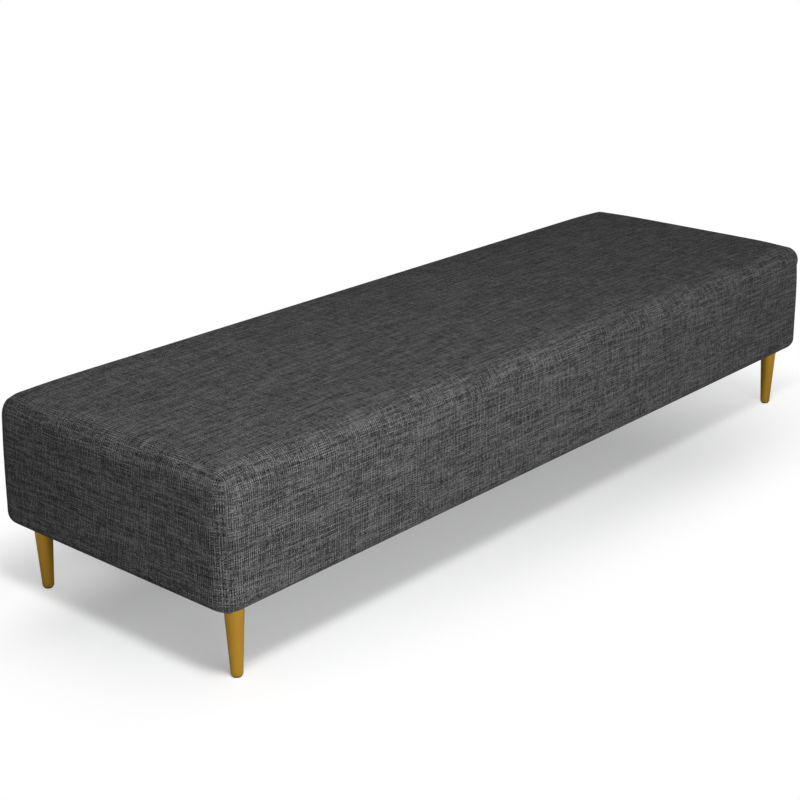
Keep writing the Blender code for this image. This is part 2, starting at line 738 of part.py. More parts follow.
def main():
    clear_scene()
    finishes = {
        "fabric": material("charcoal_weave", (0.062, 0.062, 0.064), 0.92),
        "foam": material("foam", (0.78, 0.74, 0.60), 0.95),
        "wood": material("frame_wood", (0.55, 0.38, 0.21), 0.70),
        "strap": material("webbing", (0.10, 0.09, 0.08), 0.85),
        "cloth": material("spring_cloth", (0.42, 0.31, 0.18), 0.95),
        "dust": material("dust_cloth", (0.015, 0.015, 0.016), 0.95),
        "leg": material("gold_leg", (0.42, 0.24, 0.035), 0.35, 0.6),
        "glide": material("glide_plastic", (0.03, 0.03, 0.03), 0.55),
        "steel": material("zinc_steel", (0.62, 0.62, 0.60), 0.35, 1.0),
    }
    cutters = add_group("cutters")
    frame = add_group("frame")
    upholstery = add_group("upholstery")
    undercarriage = add_group("undercarriage")
    build_rails(finishes["wood"], frame)
    build_stretchers(finishes["wood"], frame)
    build_leg_blocks(finishes["wood"], frame, cutters)
    build_corner_braces(finishes["wood"], frame)
    build_webbing(finishes["strap"], frame)
    build_spring_cloth(finishes["cloth"], upholstery)
    build_seat_foam(finishes["foam"], upholstery)
    build_side_padding(finishes["foam"], upholstery, cutters)
    build_main_cover(finishes["fabric"], upholstery)
    for end, direction in ENDS.items():
        build_end_cover(end, direction, finishes["fabric"], upholstery)
    build_dust_cover(finishes["dust"], upholstery, cutters)
    build_legs(finishes, undercarriage)


main()
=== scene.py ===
"""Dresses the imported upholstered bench: woven covers, foam, webbing, timber frame and gold legs.

Metres, +Z up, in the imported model's own frame. Each sub-assembly is a class that holds its sizes
and builds its pieces as surfaces worked out with numpy, and each finish is a class that writes a
procedural material.
"""

import logging
import math
from dataclasses import dataclass, field
from enum import Enum
from typing import Callable, Optional, Sequence, Union

import bmesh
import bpy
import numpy as np
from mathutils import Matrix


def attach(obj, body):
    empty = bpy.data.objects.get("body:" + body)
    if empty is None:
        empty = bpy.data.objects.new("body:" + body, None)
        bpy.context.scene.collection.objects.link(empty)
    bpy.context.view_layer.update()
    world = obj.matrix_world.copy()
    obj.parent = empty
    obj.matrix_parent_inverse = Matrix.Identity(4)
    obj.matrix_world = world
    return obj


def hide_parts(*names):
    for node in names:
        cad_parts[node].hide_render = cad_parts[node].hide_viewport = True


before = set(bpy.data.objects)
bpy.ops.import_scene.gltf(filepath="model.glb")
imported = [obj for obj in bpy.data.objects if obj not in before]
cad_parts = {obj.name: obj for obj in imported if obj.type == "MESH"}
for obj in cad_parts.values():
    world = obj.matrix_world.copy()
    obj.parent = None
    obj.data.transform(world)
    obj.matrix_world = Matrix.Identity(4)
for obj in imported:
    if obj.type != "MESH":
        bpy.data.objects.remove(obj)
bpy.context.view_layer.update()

LOG = logging.getLogger("bench")
ROOT = "root"
QUARTER = math.pi / 2
BLACK = (0.0, 0.0, 0.0)
WHITE = (1.0, 1.0, 1.0, 1.0)
# Distances from a seam at which the cloth has a row of points, close together beside it.
NEAR_SEAM = np.array([0.0, 0.6, 1.2, 1.9, 2.7, 3.8, 5.4, 7.6, 10.6, 14.4, 19.0]) / 1000
# The cloth's settings while the main panel settles over its foam.
SETTLING_FRAMES = 20
SETTLING = {
    "quality": 6,
    "mass": 0.25,
    "tension_stiffness": 300.0,
    "compression_stiffness": 300.0,
    "shear_stiffness": 60.0,
    "bending_stiffness": 5.0,
    "use_pressure": True,
    "uniform_pressure_force": 1.0,
    "vertex_group_mass": "held",
}

Array = np.ndarray
Piece = bpy.types.Object
Material = bpy.types.Material
Colour = tuple[float, float, float]
Value = Union["Flow", float, int]
Output = Union[int, str]
Patch = tuple[Array, Array, bool]


class Corner(Enum):
    """A corner of the bench: which end (X) and which side (Y) it is at."""

    FRONT_LEFT = (-1, -1)
    FRONT_RIGHT = (1, -1)
    BACK_LEFT = (-1, 1)
    BACK_RIGHT = (1, 1)

    @property
    def label(self) -> str:
        """The corner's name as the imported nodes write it."""
        return self.name.lower()

    def at(self, x: float, y: float) -> tuple[float, float]:
        """The place that far out from the middle, towards this corner."""
        return self.value[0] * x, self.value[1] * y


class Grain(Enum):
    """The direction of a board's grain, as the turn about Z that lays it along X."""

    LENGTHWISE = 0.0
    DEPTHWISE = QUARTER
    RISING = math.pi / 4
    FALLING = -math.pi / 4


# Shader maths


def operator(operation: str, turned: bool = False) -> Callable[..., "Flow"]:
    """Writes an operator that adds a Math node, its values in turned order if asked."""

    def method(self: "Flow", *others: Value) -> "Flow":
        """The node's result."""
        values = (*others, self) if turned else (self, *others)
        return self.recipe.add("Math", dict(enumerate(values)), operation=operation)

    return method


class Flow:
    """A shader socket that takes part in sums, each of which adds its Math node."""

    __add__ = __radd__ = operator("ADD")
    __mul__ = __rmul__ = operator("MULTIPLY")
    __sub__, __rsub__ = operator("SUBTRACT"), operator("SUBTRACT", turned=True)
    __truediv__, __rtruediv__ = operator("DIVIDE"), operator("DIVIDE", turned=True)
    __pow__, __rpow__ = operator("POWER"), operator("POWER", turned=True)
    __abs__, floor, fraction = operator("ABSOLUTE"), operator("FLOOR"), operator("FRACT")
    sine, root, larger = operator("SINE"), operator("SQRT"), operator("MAXIMUM")

    def __init__(self, recipe: "Recipe", socket: bpy.types.NodeSocket) -> None:
        """Wraps an output socket of a recipe's node tree."""
        self.recipe = recipe
        self.socket = socket

    def spread(self, low: float, high: float, to_low: float = 0.0, to_high: float = 1.0) -> "Flow":
        """This carried from one range to another along an S-shaped ramp, level outside it."""
        sockets = dict(enumerate((self, low, high, to_low, to_high)))
        return self.recipe.add("MapRange", sockets, interpolation_type="SMOOTHSTEP")


class Recipe:
    """A material or world under construction: one method makes every node."""

    def __init__(self, name: str, world: bool = False) -> None:
        """Starts a material, or a world, with nothing but its output."""
        self.owner = (bpy.data.worlds if world else bpy.data.materials).new(name)
        self.owner.use_nodes = True
        self.tree = self.owner.node_tree
        self.tree.nodes.clear()
        kind = "World" if world else "Material"
        self.output = self.tree.nodes.new(f"ShaderNodeOutput{kind}")

    def add(
        self, kind: str, sockets: Optional[dict] = None, output: Output = 0, **settings: object
    ) -> Flow:
        """Adds a node.

        Args:
            kind: The node's type, after the words they all start with.
            sockets: A value or a link for each input, by name or place.
            output: The output wanted.
            **settings: The node's own properties, set first.

        Returns:
            The output, as a value for sums.
        """
        made = self.tree.nodes.new(f"ShaderNode{kind}")
        for key, value in settings.items():
            setattr(made, key, value)
        for key, value in (sockets or {}).items():
            if isinstance(value, Flow):
                self.tree.links.new(value.socket, made.inputs[key])
            else:
                made.inputs[key].default_value = value
        return Flow(self, made.outputs[output])

    def split(self, source: Flow) -> list[Flow]:
        """The three parts of a vector."""
        parts = self.add("SeparateXYZ", {0: source}).socket.node.outputs
        return [Flow(self, part) for part in parts]

    def join(self, x: Value, y: Value) -> Flow:
        """A vector of two parts."""
        return self.add("CombineXYZ", {0: x, 1: y})

    def uv(self) -> list[Flow]:
        """The piece's own map, in metres along and across its cloth or round its turning."""
        return self.split(self.add("UVMap", uv_map="lay"))[:2]

    def place(self, turn: float = 0.0) -> Flow:
        """Object coordinates, turned about Z."""
        at = self.add("TexCoord", output="Object")
        return self.add("Mapping", {0: at, 2: (0.0, 0.0, turn)}) if turn else at

    def noise(self, at: Flow, scale: Union[float, Sequence[float]], detail: float) -> Flow:
        """Soft noise in space, about one half, with one scale or one for each direction."""
        if not isinstance(scale, float):
            at, scale = self.add("VectorMath", {0: at, 1: scale}, operation="MULTIPLY"), 1.0
        return self.add("TexNoise", {"Vector": at, "Scale": scale, "Detail": detail})

    def mottle(self, u: Value, v: Value, detail: float, rough: float = 0.5) -> Flow:
        """Soft noise on a map, about one half."""
        sockets = {"Vector": self.join(u, v), "Scale": 1.0, "Detail": detail, "Roughness": rough}
        return self.add("TexNoise", sockets, noise_dimensions="2D")

    def chance(self, at: Flow) -> Flow:
        """A number from 0 to 1, unlike its neighbours', for each whole place."""
        return self.add("TexWhiteNoise", {"Vector": at}, "Value", noise_dimensions="2D")

    def blend(self, share: Value, first: Union[Flow, Colour], second: Union[Flow, Colour]) -> Flow:
        """A colour between two, by a share of the second."""
        ends = [end if isinstance(end, Flow) else (*end, 1.0) for end in (first, second)]
        return self.add("Mix", {0: share, 6: ends[0], 7: ends[1]}, 2, data_type="RGBA")

    def bump(self, height: Flow, distance: float) -> Flow:
        """The normal that a height gives, at a distance in metres for a height of one."""
        return self.add("Bump", {"Height": height, "Distance": distance, "Strength": 1.0})

    def rays(self) -> tuple[Flow, Flow]:
        """Whether the camera looks at it, and whether the camera, a gloss or a glass does."""
        kinds = ("Camera", "Glossy", "Transmission")
        watched, gloss, glass = (self.add("LightPath", output=f"Is {kind} Ray") for kind in kinds)
        return watched, watched.larger(gloss).larger(glass)

    def finish(self, colour: Flow, rough: Value, normal: Flow, **more: object) -> Material:
        """Closes the material with a Principled shader, other sockets named with _ for a space."""
        sockets = {"Base Color": colour, "Roughness": rough, "Normal": normal}
        sockets.update({key.replace("_", " "): value for key, value in more.items()})
        return self.surface(self.add("BsdfPrincipled", sockets))

    def surface(self, shader: Flow) -> Material:
        """Closes the material with any shader."""
        self.tree.links.new(shader.socket, self.output.inputs["Surface"])
        return self.owner


# Finishes


@dataclass(frozen=True)
class SlubWeave:
    """Plain-woven linen-look cloth whose yarns change tone and thickness along their length.

    The contrasts are in doublings of brightness.
    """

    name: str
    tint: Colour
    pitch: float = 0.0024
    lengthwise_slub: float = 0.100
    cross_slub: float = 0.050
    slub_lift: float = 0.10
    lengthwise_share: float = 0.25
    yarn_contrast: float = 2.5
    cross_contrast: float = 2.2
    pair_contrast: float = 0.90
    cross_pair_contrast: float = 0.55
    float_contrast: float = 1.8
    fibre_contrast: float = 0.8
    bundle_contrast: float = 1.15
    # Share of brightness left where the yarns lie lowest: painted shade in the gaps between yarns.
    gap: float = 0.30
    pale_hold: float = 0.16
    middle: float = 0.308
    palest: float = 4.0
    relief: float = 0.0006
    sheen: float = 0.05

    def material(self) -> Material:
        """Writes the material.

        Two sets of yarns cross. A yarn stands highest along its middle, and rises and falls as a
        sine of the way along, half a turn out of step with its neighbours. A slub lifts it. The
        higher yarn shows, and gives the tone. In patches every other yarn is paler. The palest
        are held back by the square of their doublings.
        """
        recipe = Recipe(self.name)
        u, v = recipe.uv()
        wander = (recipe.mottle(u * 9.0, v * 14.0, 1.0) - 0.5) * 0.6
        patchy = recipe.mottle(u * 16.0, v * 25.0, 2.0).spread(0.30, 0.62, 0.35, 1.0)
        along, across = u / self.pitch + wander, v / self.pitch + wander
        cross_index, length_index = along.floor(), across.floor()

        def yarns(
            slub: Flow,
            over: Flow,
            wave: Flow,
            index: Flow,
            apart: float,
            contrast: float,
            pair: float,
        ) -> tuple[Flow, Flow]:
            """Height and doublings of one set of yarns."""
            tone = recipe.mottle(slub, index * 5.37 + apart, 4.0, 0.66).spread(0.34, 0.66)
            high = (over.fraction() * math.pi).sine() * 0.5 + wave + tone * self.slub_lift
            other = (index * 0.5).fraction() * 4.0 - 1.0
            return high, (tone - 0.5) * contrast + other * patchy * pair

        length_high, length_shade = yarns(
            u / self.lengthwise_slub, across, ((along + length_index) * math.pi).sine() * 0.5,
            length_index, 11.0, self.yarn_contrast, self.pair_contrast,
        )
        cross_high, cross_shade = yarns(
            v / self.cross_slub, along, ((across + cross_index) * math.pi).sine() * -0.5,
            cross_index, 57.0, self.cross_contrast, self.cross_pair_contrast,
        )
        shows = (length_high + self.lengthwise_share - cross_high).spread(-0.15, 0.15)
        height = length_high.larger(cross_high)
        fibre = recipe.mottle(u * 900.0, v * 900.0, 2.0)
        piece = recipe.chance(recipe.join(cross_index, length_index))
        bundle = recipe.mottle(u * 20.0, v * 130.0, 2.0)
        doublings = cross_shade + (length_shade - cross_shade) * shows
        doublings += (piece - 0.5) * self.float_contrast + (fibre - 0.5) * self.fibre_contrast
        doublings += (bundle - 0.5) * self.bundle_contrast
        doublings -= doublings * doublings * self.pale_hold
        # Painted shade: the tone darkens where both sets of yarns lie low, in the gaps between
        # them, down to the gap share.
        shade = self.middle * 2.0**doublings * height.spread(0.1, 1.0, self.gap, 1.0)
        colour = recipe.blend(shade, BLACK, tuple(part * self.palest for part in self.tint))
        rough = fibre.spread(0.3, 0.7, 0.84, 0.98)
        normal = recipe.bump(height + fibre * 0.4, self.relief)
        sheen = {"Sheen_Weight": self.sheen, "Sheen_Roughness": 0.6}
        return recipe.finish(colour, rough, normal, Specular_IOR_Level=0.0, **sheen)


@dataclass(frozen=True)
class SpunCloth:
    """Non-woven cloth: matted fibres bonded at small diamond dimples."""

    name: str
    colour: Colour
    dimple: float = 0.0026

    def material(self) -> Material:
        """Writes the material: dimples are where two slanting sines are both low."""
        recipe = Recipe(self.name)
        u, v = recipe.uv()
        first, second = (abs((way * (math.pi / self.dimple)).sine()) for way in (u + v, u - v))
        dimple = (first * second).spread(0.05, 0.45)
        fibre = recipe.mottle(u * 1400.0, v * 1400.0, 3.0)
        cloud = recipe.mottle(u * 30.0, v * 30.0, 3.0)
        light = tuple(part * 2.6 + 0.012 for part in self.colour)
        colour = recipe.blend(dimple * 0.35 + fibre * 0.35 + cloud * 0.25, self.colour, light)
        rough = fibre.spread(0.3, 0.7, 0.72, 0.92)
        return recipe.finish(colour, rough, recipe.bump(dimple + fibre * 0.5, 0.00012))


@dataclass(frozen=True)
class OpenFoam:
    """Cut polyurethane foam with fine open cells."""

    name: str
    colour: Colour
    aged: Colour
    # Colour of the painted shade in the cells' pits.
    deep: Colour

    def material(self) -> Material:
        """Writes the material: cells of two sizes pit the surface, with painted shade darkening the
        pits.
        """
        recipe = Recipe(self.name)
        at = recipe.place()
        scales = (420.0, 1100.0)
        cells = [recipe.add("TexVoronoi", {"Vector": at, "Scale": scale}) for scale in scales]
        pit = cells[0] * 0.5 + cells[1] * 0.5
        skin = recipe.blend(recipe.noise(at, 6.0, 3.0).spread(0.35, 0.7), self.colour, self.aged)
        # Painted shade: the colour darkens towards the deep colour where the cells lie lowest.
        colour = recipe.blend(pit.spread(0.1, 0.8) * 0.3, skin, self.deep)
        return recipe.finish(colour, 0.95, recipe.bump(1.0 - pit, 0.0006))


@dataclass(frozen=True)
class SawnTimber:
    """Sawn softwood with annual rings, drawn along the board's grain."""

    name: str
    early: Colour
    late: Colour
    grain: Grain
    ring_width: float = 0.0065

    def material(self) -> Material:
        """Writes the material: rings about a slightly wandering heart line, and fine fibres."""
        recipe = Recipe(self.name)
        at = recipe.place(-self.grain.value)
        drift = recipe.noise(at, (1.5, 7.0, 7.0), 3.0) - 0.5
        _, y, z = recipe.split(at)
        y, z = y + drift * 0.07 + 0.11, z + drift * 0.09 + 0.04
        ring = ((y * y + z * z).root() * (math.tau / self.ring_width)).sine()
        fibre = recipe.noise(at, (14.0, 900.0, 900.0), 2.0)
        mottle = recipe.noise(at, (2.0, 22.0, 22.0), 3.0)
        share = ring.spread(-0.2, 1.0) * 0.55 + fibre * 0.25 + (mottle - 0.5) * 0.5
        colour = recipe.blend(share.larger(0.0), self.early, self.late)
        rough = fibre.spread(0.3, 0.7, 0.62, 0.80)
        return recipe.finish(colour, rough, recipe.bump(fibre + ring * 0.2, 0.00025))


@dataclass(frozen=True)
class StrapWeave:
    """Upholstery webbing: herringbone ribs along the strap and a stripe near each edge."""

    name: str
    body: Colour
    stripe: Colour
    gap: Colour
    half_width: float

    def material(self) -> Material:
        """Writes the material from the strap's own map: u along it, v from its middle."""
        recipe = Recipe(self.name)
        u, v = recipe.uv()
        slant = abs((v / 0.006).fraction() - 0.5) * 0.006
        rib = ((u + slant) * (math.tau / 0.0016)).sine()
        warp = (v * (math.tau / 0.0012)).sine()
        fibre = recipe.mottle(u * 500.0, v * 1500.0, 2.0)
        middle = abs(abs(v) - self.half_width * 0.68)
        base = recipe.blend(middle.spread(0.0016, 0.0024, 1.0, 0.0), self.body, self.stripe)
        colour = recipe.blend(rib.spread(-1.0, 1.0, 0.0, 0.3) + fibre * 0.35, base, self.gap)
        return recipe.finish(colour, 0.85, recipe.bump(rib + warp * 0.6 + fibre * 0.4, 0.0002))


@dataclass(frozen=True)
class GoldSatin:
    """Satin gold coat on metal, smooth, with a faint draw along the leg and painted shade at its
    foot.
    """

    name: str
    colour: Colour
    # Darker gold for the random cloud, and for the painted shade at the foot.
    deep: Colour
    gleam: Colour = (0.90, 0.64, 0.28)
    metal: float = 0.45
    roughness: float = 0.38

    def material(self) -> Material:
        """Writes the material from the turning's map: u round it, v up it."""
        recipe = Recipe(self.name)
        u, v = recipe.uv()
        draw = recipe.mottle(u * 900.0, v * 12.0, 2.0)
        cloud = recipe.mottle(u * 25.0, v * 18.0, 3.0)
        # Painted shade: the colour darkens towards the deep gold over the lowest 14 mm of the leg,
        # near the floor.
        foot = v.spread(0.002, 0.014, 1.0, 0.0)
        share = (draw - 0.5) * 0.25 + (cloud - 0.5) * 0.35 + foot * 0.35 + 0.2
        colour = recipe.blend(share.larger(0.0), self.colour, self.deep)
        rough = draw * 0.08 + cloud * 0.08 + (self.roughness - 0.08)
        gloss = {"Specular_IOR_Level": 0.25, "Specular_Tint": (*self.gleam, 1.0)}
        normal = recipe.bump(draw, 0.00001)
        return recipe.finish(colour, rough, normal, Metallic=self.metal, **gloss)


@dataclass(frozen=True)
class PlatedSteel:
    """Zinc-plated steel with a cloudy, slightly warm passivation."""

    name: str
    colour: Colour
    cloudy: Colour = (0.50, 0.47, 0.38)

    def material(self) -> Material:
        """Writes the material: two scales of cloud in tone and roughness."""
        recipe = Recipe(self.name)
        at = recipe.place()
        cloud, scratch = recipe.noise(at, 160.0, 3.0), recipe.noise(at, (900.0, 900.0, 60.0), 2.0)
        colour = recipe.blend(cloud.spread(0.35, 0.7), self.colour, self.cloudy)
        rough = cloud.spread(0.3, 0.7, 0.26, 0.44) + scratch * 0.06
        return recipe.finish(colour, rough, recipe.bump(scratch, 0.00001), Metallic=1.0)


@dataclass(frozen=True)
class MouldedNylon:
    """Moulded nylon with a fine spark-eroded texture, scuffed where it meets the floor."""

    name: str
    colour: Colour
    scuffed: Colour = (0.16, 0.16, 0.155)

    def material(self) -> Material:
        """Writes the material: grain in the relief, and a paler scuff low down."""
        recipe = Recipe(self.name)
        at = recipe.place()
        grain = recipe.noise(at, 3200.0, 2.0)
        low = recipe.split(at)[2].spread(0.0, 0.0012, 1.0, 0.0)
        scuff = low * recipe.noise(at, 500.0, 3.0).spread(0.4, 0.7)
        colour = recipe.blend(scuff * 0.5, self.colour, self.scuffed)
        rough = grain.spread(0.3, 0.7, 0.42, 0.60)
        return recipe.finish(colour, rough, recipe.bump(grain, 0.00003))


# Meshes


def put_in_scene(name: str, mesh: bpy.types.Mesh) -> Piece:
    """Links a mesh into the scene as one object at the origin."""
    piece = bpy.data.objects.new(name, mesh)
    bpy.context.scene.collection.objects.link(piece)
    return piece


def grid_piece(name: str, patches: Sequence[Patch], weld: float = 1e-6) -> Piece:
    """Joins grids of points into one smooth piece.

    A face joins four neighbouring points, and faces the cross product of the row and column
    directions. Points that coincide are then merged, which closes seams and poles.

    Args:
        name: The piece's name.
        patches: Of each grid its points by row and column, the map places of the same shape,
            and whether its faces turn round.
        weld: Distance within which points merge.

    Returns:
        The piece, with its map named lay.
    """
    points, faces, lay, start = [], [], [], 0
    for grid, places, turned in patches:
        rows, columns = grid.shape[:2]
        index = start + np.arange(rows * columns).reshape(rows, columns)
        corners = [index[:-1, :-1], index[1:, :-1], index[1:, 1:], index[:-1, 1:]]
        faces.append(np.stack(corners[::-1] if turned else corners, axis=-1).reshape(-1, 4))
        points.append(grid.reshape(-1, 3))
        lay.append(places.reshape(-1, 2))
        start += rows * columns
    points, faces, lay = np.concatenate(points), np.concatenate(faces), np.concatenate(lay)
    mesh = bpy.data.meshes.new(name)
    mesh.vertices.add(len(points))
    mesh.vertices.foreach_set("co", points.astype(np.float32).ravel())
    mesh.loops.add(faces.size)
    mesh.loops.foreach_set("vertex_index", faces.astype(np.int32).ravel())
    mesh.polygons.add(len(faces))
    mesh.polygons.foreach_set("loop_start", np.arange(0, faces.size, 4, dtype=np.int32))
    mesh.update(calc_edges=True)
    layer = mesh.uv_layers.new(name="lay")
    layer.data.foreach_set("uv", lay[faces.ravel()].astype(np.float32).ravel())
    form = bmesh.new()
    form.from_mesh(mesh)
    bmesh.ops.remove_doubles(form, verts=form.verts, dist=weld)
    bmesh.ops.dissolve_degenerate(form, edges=form.edges, dist=weld)
    form.to_mesh(mesh)
    form.free()
    mesh.shade_smooth()
    return put_in_scene(name, mesh)


def from_above(grid: Array, turned: bool = False) -> Patch:
    """A grid whose map is the grid as seen from above."""
    return grid, grid[..., :2], turned


def lids(grid: Array, lay: Array, middles: Sequence[Array], turned: bool) -> list[Patch]:
    """Fans that close a grid's first and last rows, the first one's faces turned round or not."""
    fans = []
    for row, middle, flip in zip((0, -1), middles, (turned, not turned)):
        rim = grid[row]
        fan = np.stack([rim, np.broadcast_to(middle, rim.shape)])
        fans.append((fan, np.stack([lay[row]] * 2), flip))
    return fans


def turned_piece(
    name: str, radius: Array, height: Array, centre: Sequence[float], steps: int
) -> Piece:
    """A profile turned about an upright axis.

    A point stands at the centre plus the radius times the cosine and sine of the turn. The map
    runs round by the turn times the largest radius, and up by the height.

    Args:
        name: The piece's name.
        radius: Radius of each row, from the top inside, over the outside, to the bottom.
        height: Height of each row.
        centre: The axis' x and y.
        steps: Facets of a full turn.

    Returns:
        The piece.
    """
    turn = np.linspace(0.0, math.tau, steps + 1)
    x, y = centre[0] + radius * np.cos(turn), centre[1] + radius * np.sin(turn)
    points = np.stack(np.broadcast_arrays(x, y, height), axis=-1)
    points[:, -1] = points[:, 0]
    lay = np.stack(np.broadcast_arrays(turn * radius.max(), height), axis=-1)
    return grid_piece(name, [(points, lay, False)])


def rounded_profile(corners: Sequence[tuple[float, float, float]], steps: int = 6) -> Array:
    """A profile whose corners are rounded.

    At each corner of (radius, height, rounding) a quadratic curve runs between the points that
    lie the rounding's distance before and after it.

    Args:
        corners: The corners in order.
        steps: Pieces of each rounding.

    Returns:
        The profile's points.
    """
    bare = np.array([corner[:2] for corner in corners])
    share = np.linspace(0.0, 1.0, steps + 1)[:, None]
    parts = []
    for i, (_, _, rounding) in enumerate(corners):
        if rounding <= 0.0 or i in (0, len(corners) - 1):
            parts.append(bare[i : i + 1])
            continue
        before, after = bare[i - 1] - bare[i], bare[i + 1] - bare[i]
        start = bare[i] + before / np.linalg.norm(before) * rounding
        stop = bare[i] + after / np.linalg.norm(after) * rounding
        parts.append((1 - share) ** 2 * start + 2 * share * (1 - share) * bare[i] + share**2 * stop)
    return np.concatenate(parts)


def carried(
    name: str, path: Array, sideways: Array, upward: Array, section: Array
) -> Piece:
    """A closed section carried along a path, capped at both ends.

    A point is the path's point plus the section's first number times the sideways direction and
    its second times the upward one. The map runs along the path, and across by the section's
    first number.

    Args:
        name: The piece's name.
        path: Points of the path.
        sideways: Direction of the section's first number at each point.
        upward: Direction of its second.
        section: Closed outline, its first point repeated at its end.

    Returns:
        The piece.
    """
    along = travelled(path)
    across, lift = section[:, :1], section[:, 1:]
    grid = path[:, None] + across * sideways[:, None] + lift * upward[:, None]
    lay = np.stack(np.broadcast_arrays(along[:, None], section[:, 0]), axis=-1)
    return grid_piece(name, [(grid, lay, False), *lids(grid, lay, (path[0], path[-1]), True)])


def carved(
    name: str, whole: Piece, tools: Sequence[Piece], operation: str
) -> bpy.types.Mesh:
    """What exact booleans with the tools leave of a piece, all of which are then cleared away."""
    for tool in tools:
        cut = whole.modifiers.new("cut", "BOOLEAN")
        cut.operation, cut.solver, cut.object = operation, "EXACT", tool
    depsgraph = bpy.context.evaluated_depsgraph_get()
    made = bpy.data.meshes.new_from_object(whole.evaluated_get(depsgraph))
    made.name = name
    for spent in (whole, *tools):
        bpy.data.objects.remove(spent, do_unlink=True)
    return made


def travelled(points: Array) -> Array:
    """The distance along a row of points, at each."""
    return np.concatenate([[0.0], np.cumsum(np.linalg.norm(np.diff(points, axis=0), axis=1))])


def smooth_noise(values: Array, waves: Sequence[tuple[float, float, float]]) -> Array:
    """A sum of sines, each of (height, wavelength, phase), over an array of distances."""
    return sum(
        height * np.sin(math.tau * values / length + phase) for height, length, phase in waves
    )


def reading_weights(known: Array, wanted: Array) -> Array:
    """Catmull-Rom weights of the known places, in a row for each place wanted."""
    at = np.interp(wanted, known, np.arange(len(known)))
    low = np.clip(np.floor(at).astype(int), 0, len(known) - 2)
    t = at - low
    parts = (-t + 2 * t**2 - t**3, 2 - 5 * t**2 + 3 * t**3, t + 4 * t**2 - 3 * t**3, t**3 - t**2)
    table = np.zeros((len(wanted), len(known)))
    for step, part in enumerate(parts, start=-1):
        neighbour = np.clip(low + step, 0, len(known) - 1)
        np.add.at(table, (np.arange(len(wanted)), neighbour), part / 2)
    return table


def add_thickness(piece: Piece, thickness: float) -> None:
    """Gives a sheet its thickness on its inner side."""
    shell = piece.modifiers.new("thickness", "SOLIDIFY")
    shell.thickness, shell.offset, shell.use_even_offset = thickness, -1.0, False


def hand_over(
    piece: Piece, finish: Material, slot: str, *nodes: str
) -> Piece:
    """Gives a piece its finish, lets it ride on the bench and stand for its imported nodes."""
    piece.data.materials.clear()
    piece.data.materials.append(finish)
    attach(piece, ROOT)
    if nodes:
        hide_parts(*nodes)
    faces = len(piece.data.polygons)
    LOG.info("%s: %d faces for %s", piece.name, faces, ", ".join(nodes) or "itself")
    return piece


# The padded body


@dataclass
class Stations:
    """Places round the body's section, from the front hem over the seat to the back hem.

    Each has its core (y, z), how far the surface stands from the core sideways, upwards and
    towards an end, which side it is on, its surface's direction, and its distance along the
    section.
    """

    core_y: Array
    core_z: Array
    out: Array
    up: Array
    along: Array
    side: Array
    facing_out: Array
    facing_up: Array
    facing_down: Array
    roll: Array
    distance: Array

    def pick(self, chosen: slice) -> "Stations":
        """The stations of a slice."""
        return Stations(**{key: value[chosen] for key, value in vars(self).items()})


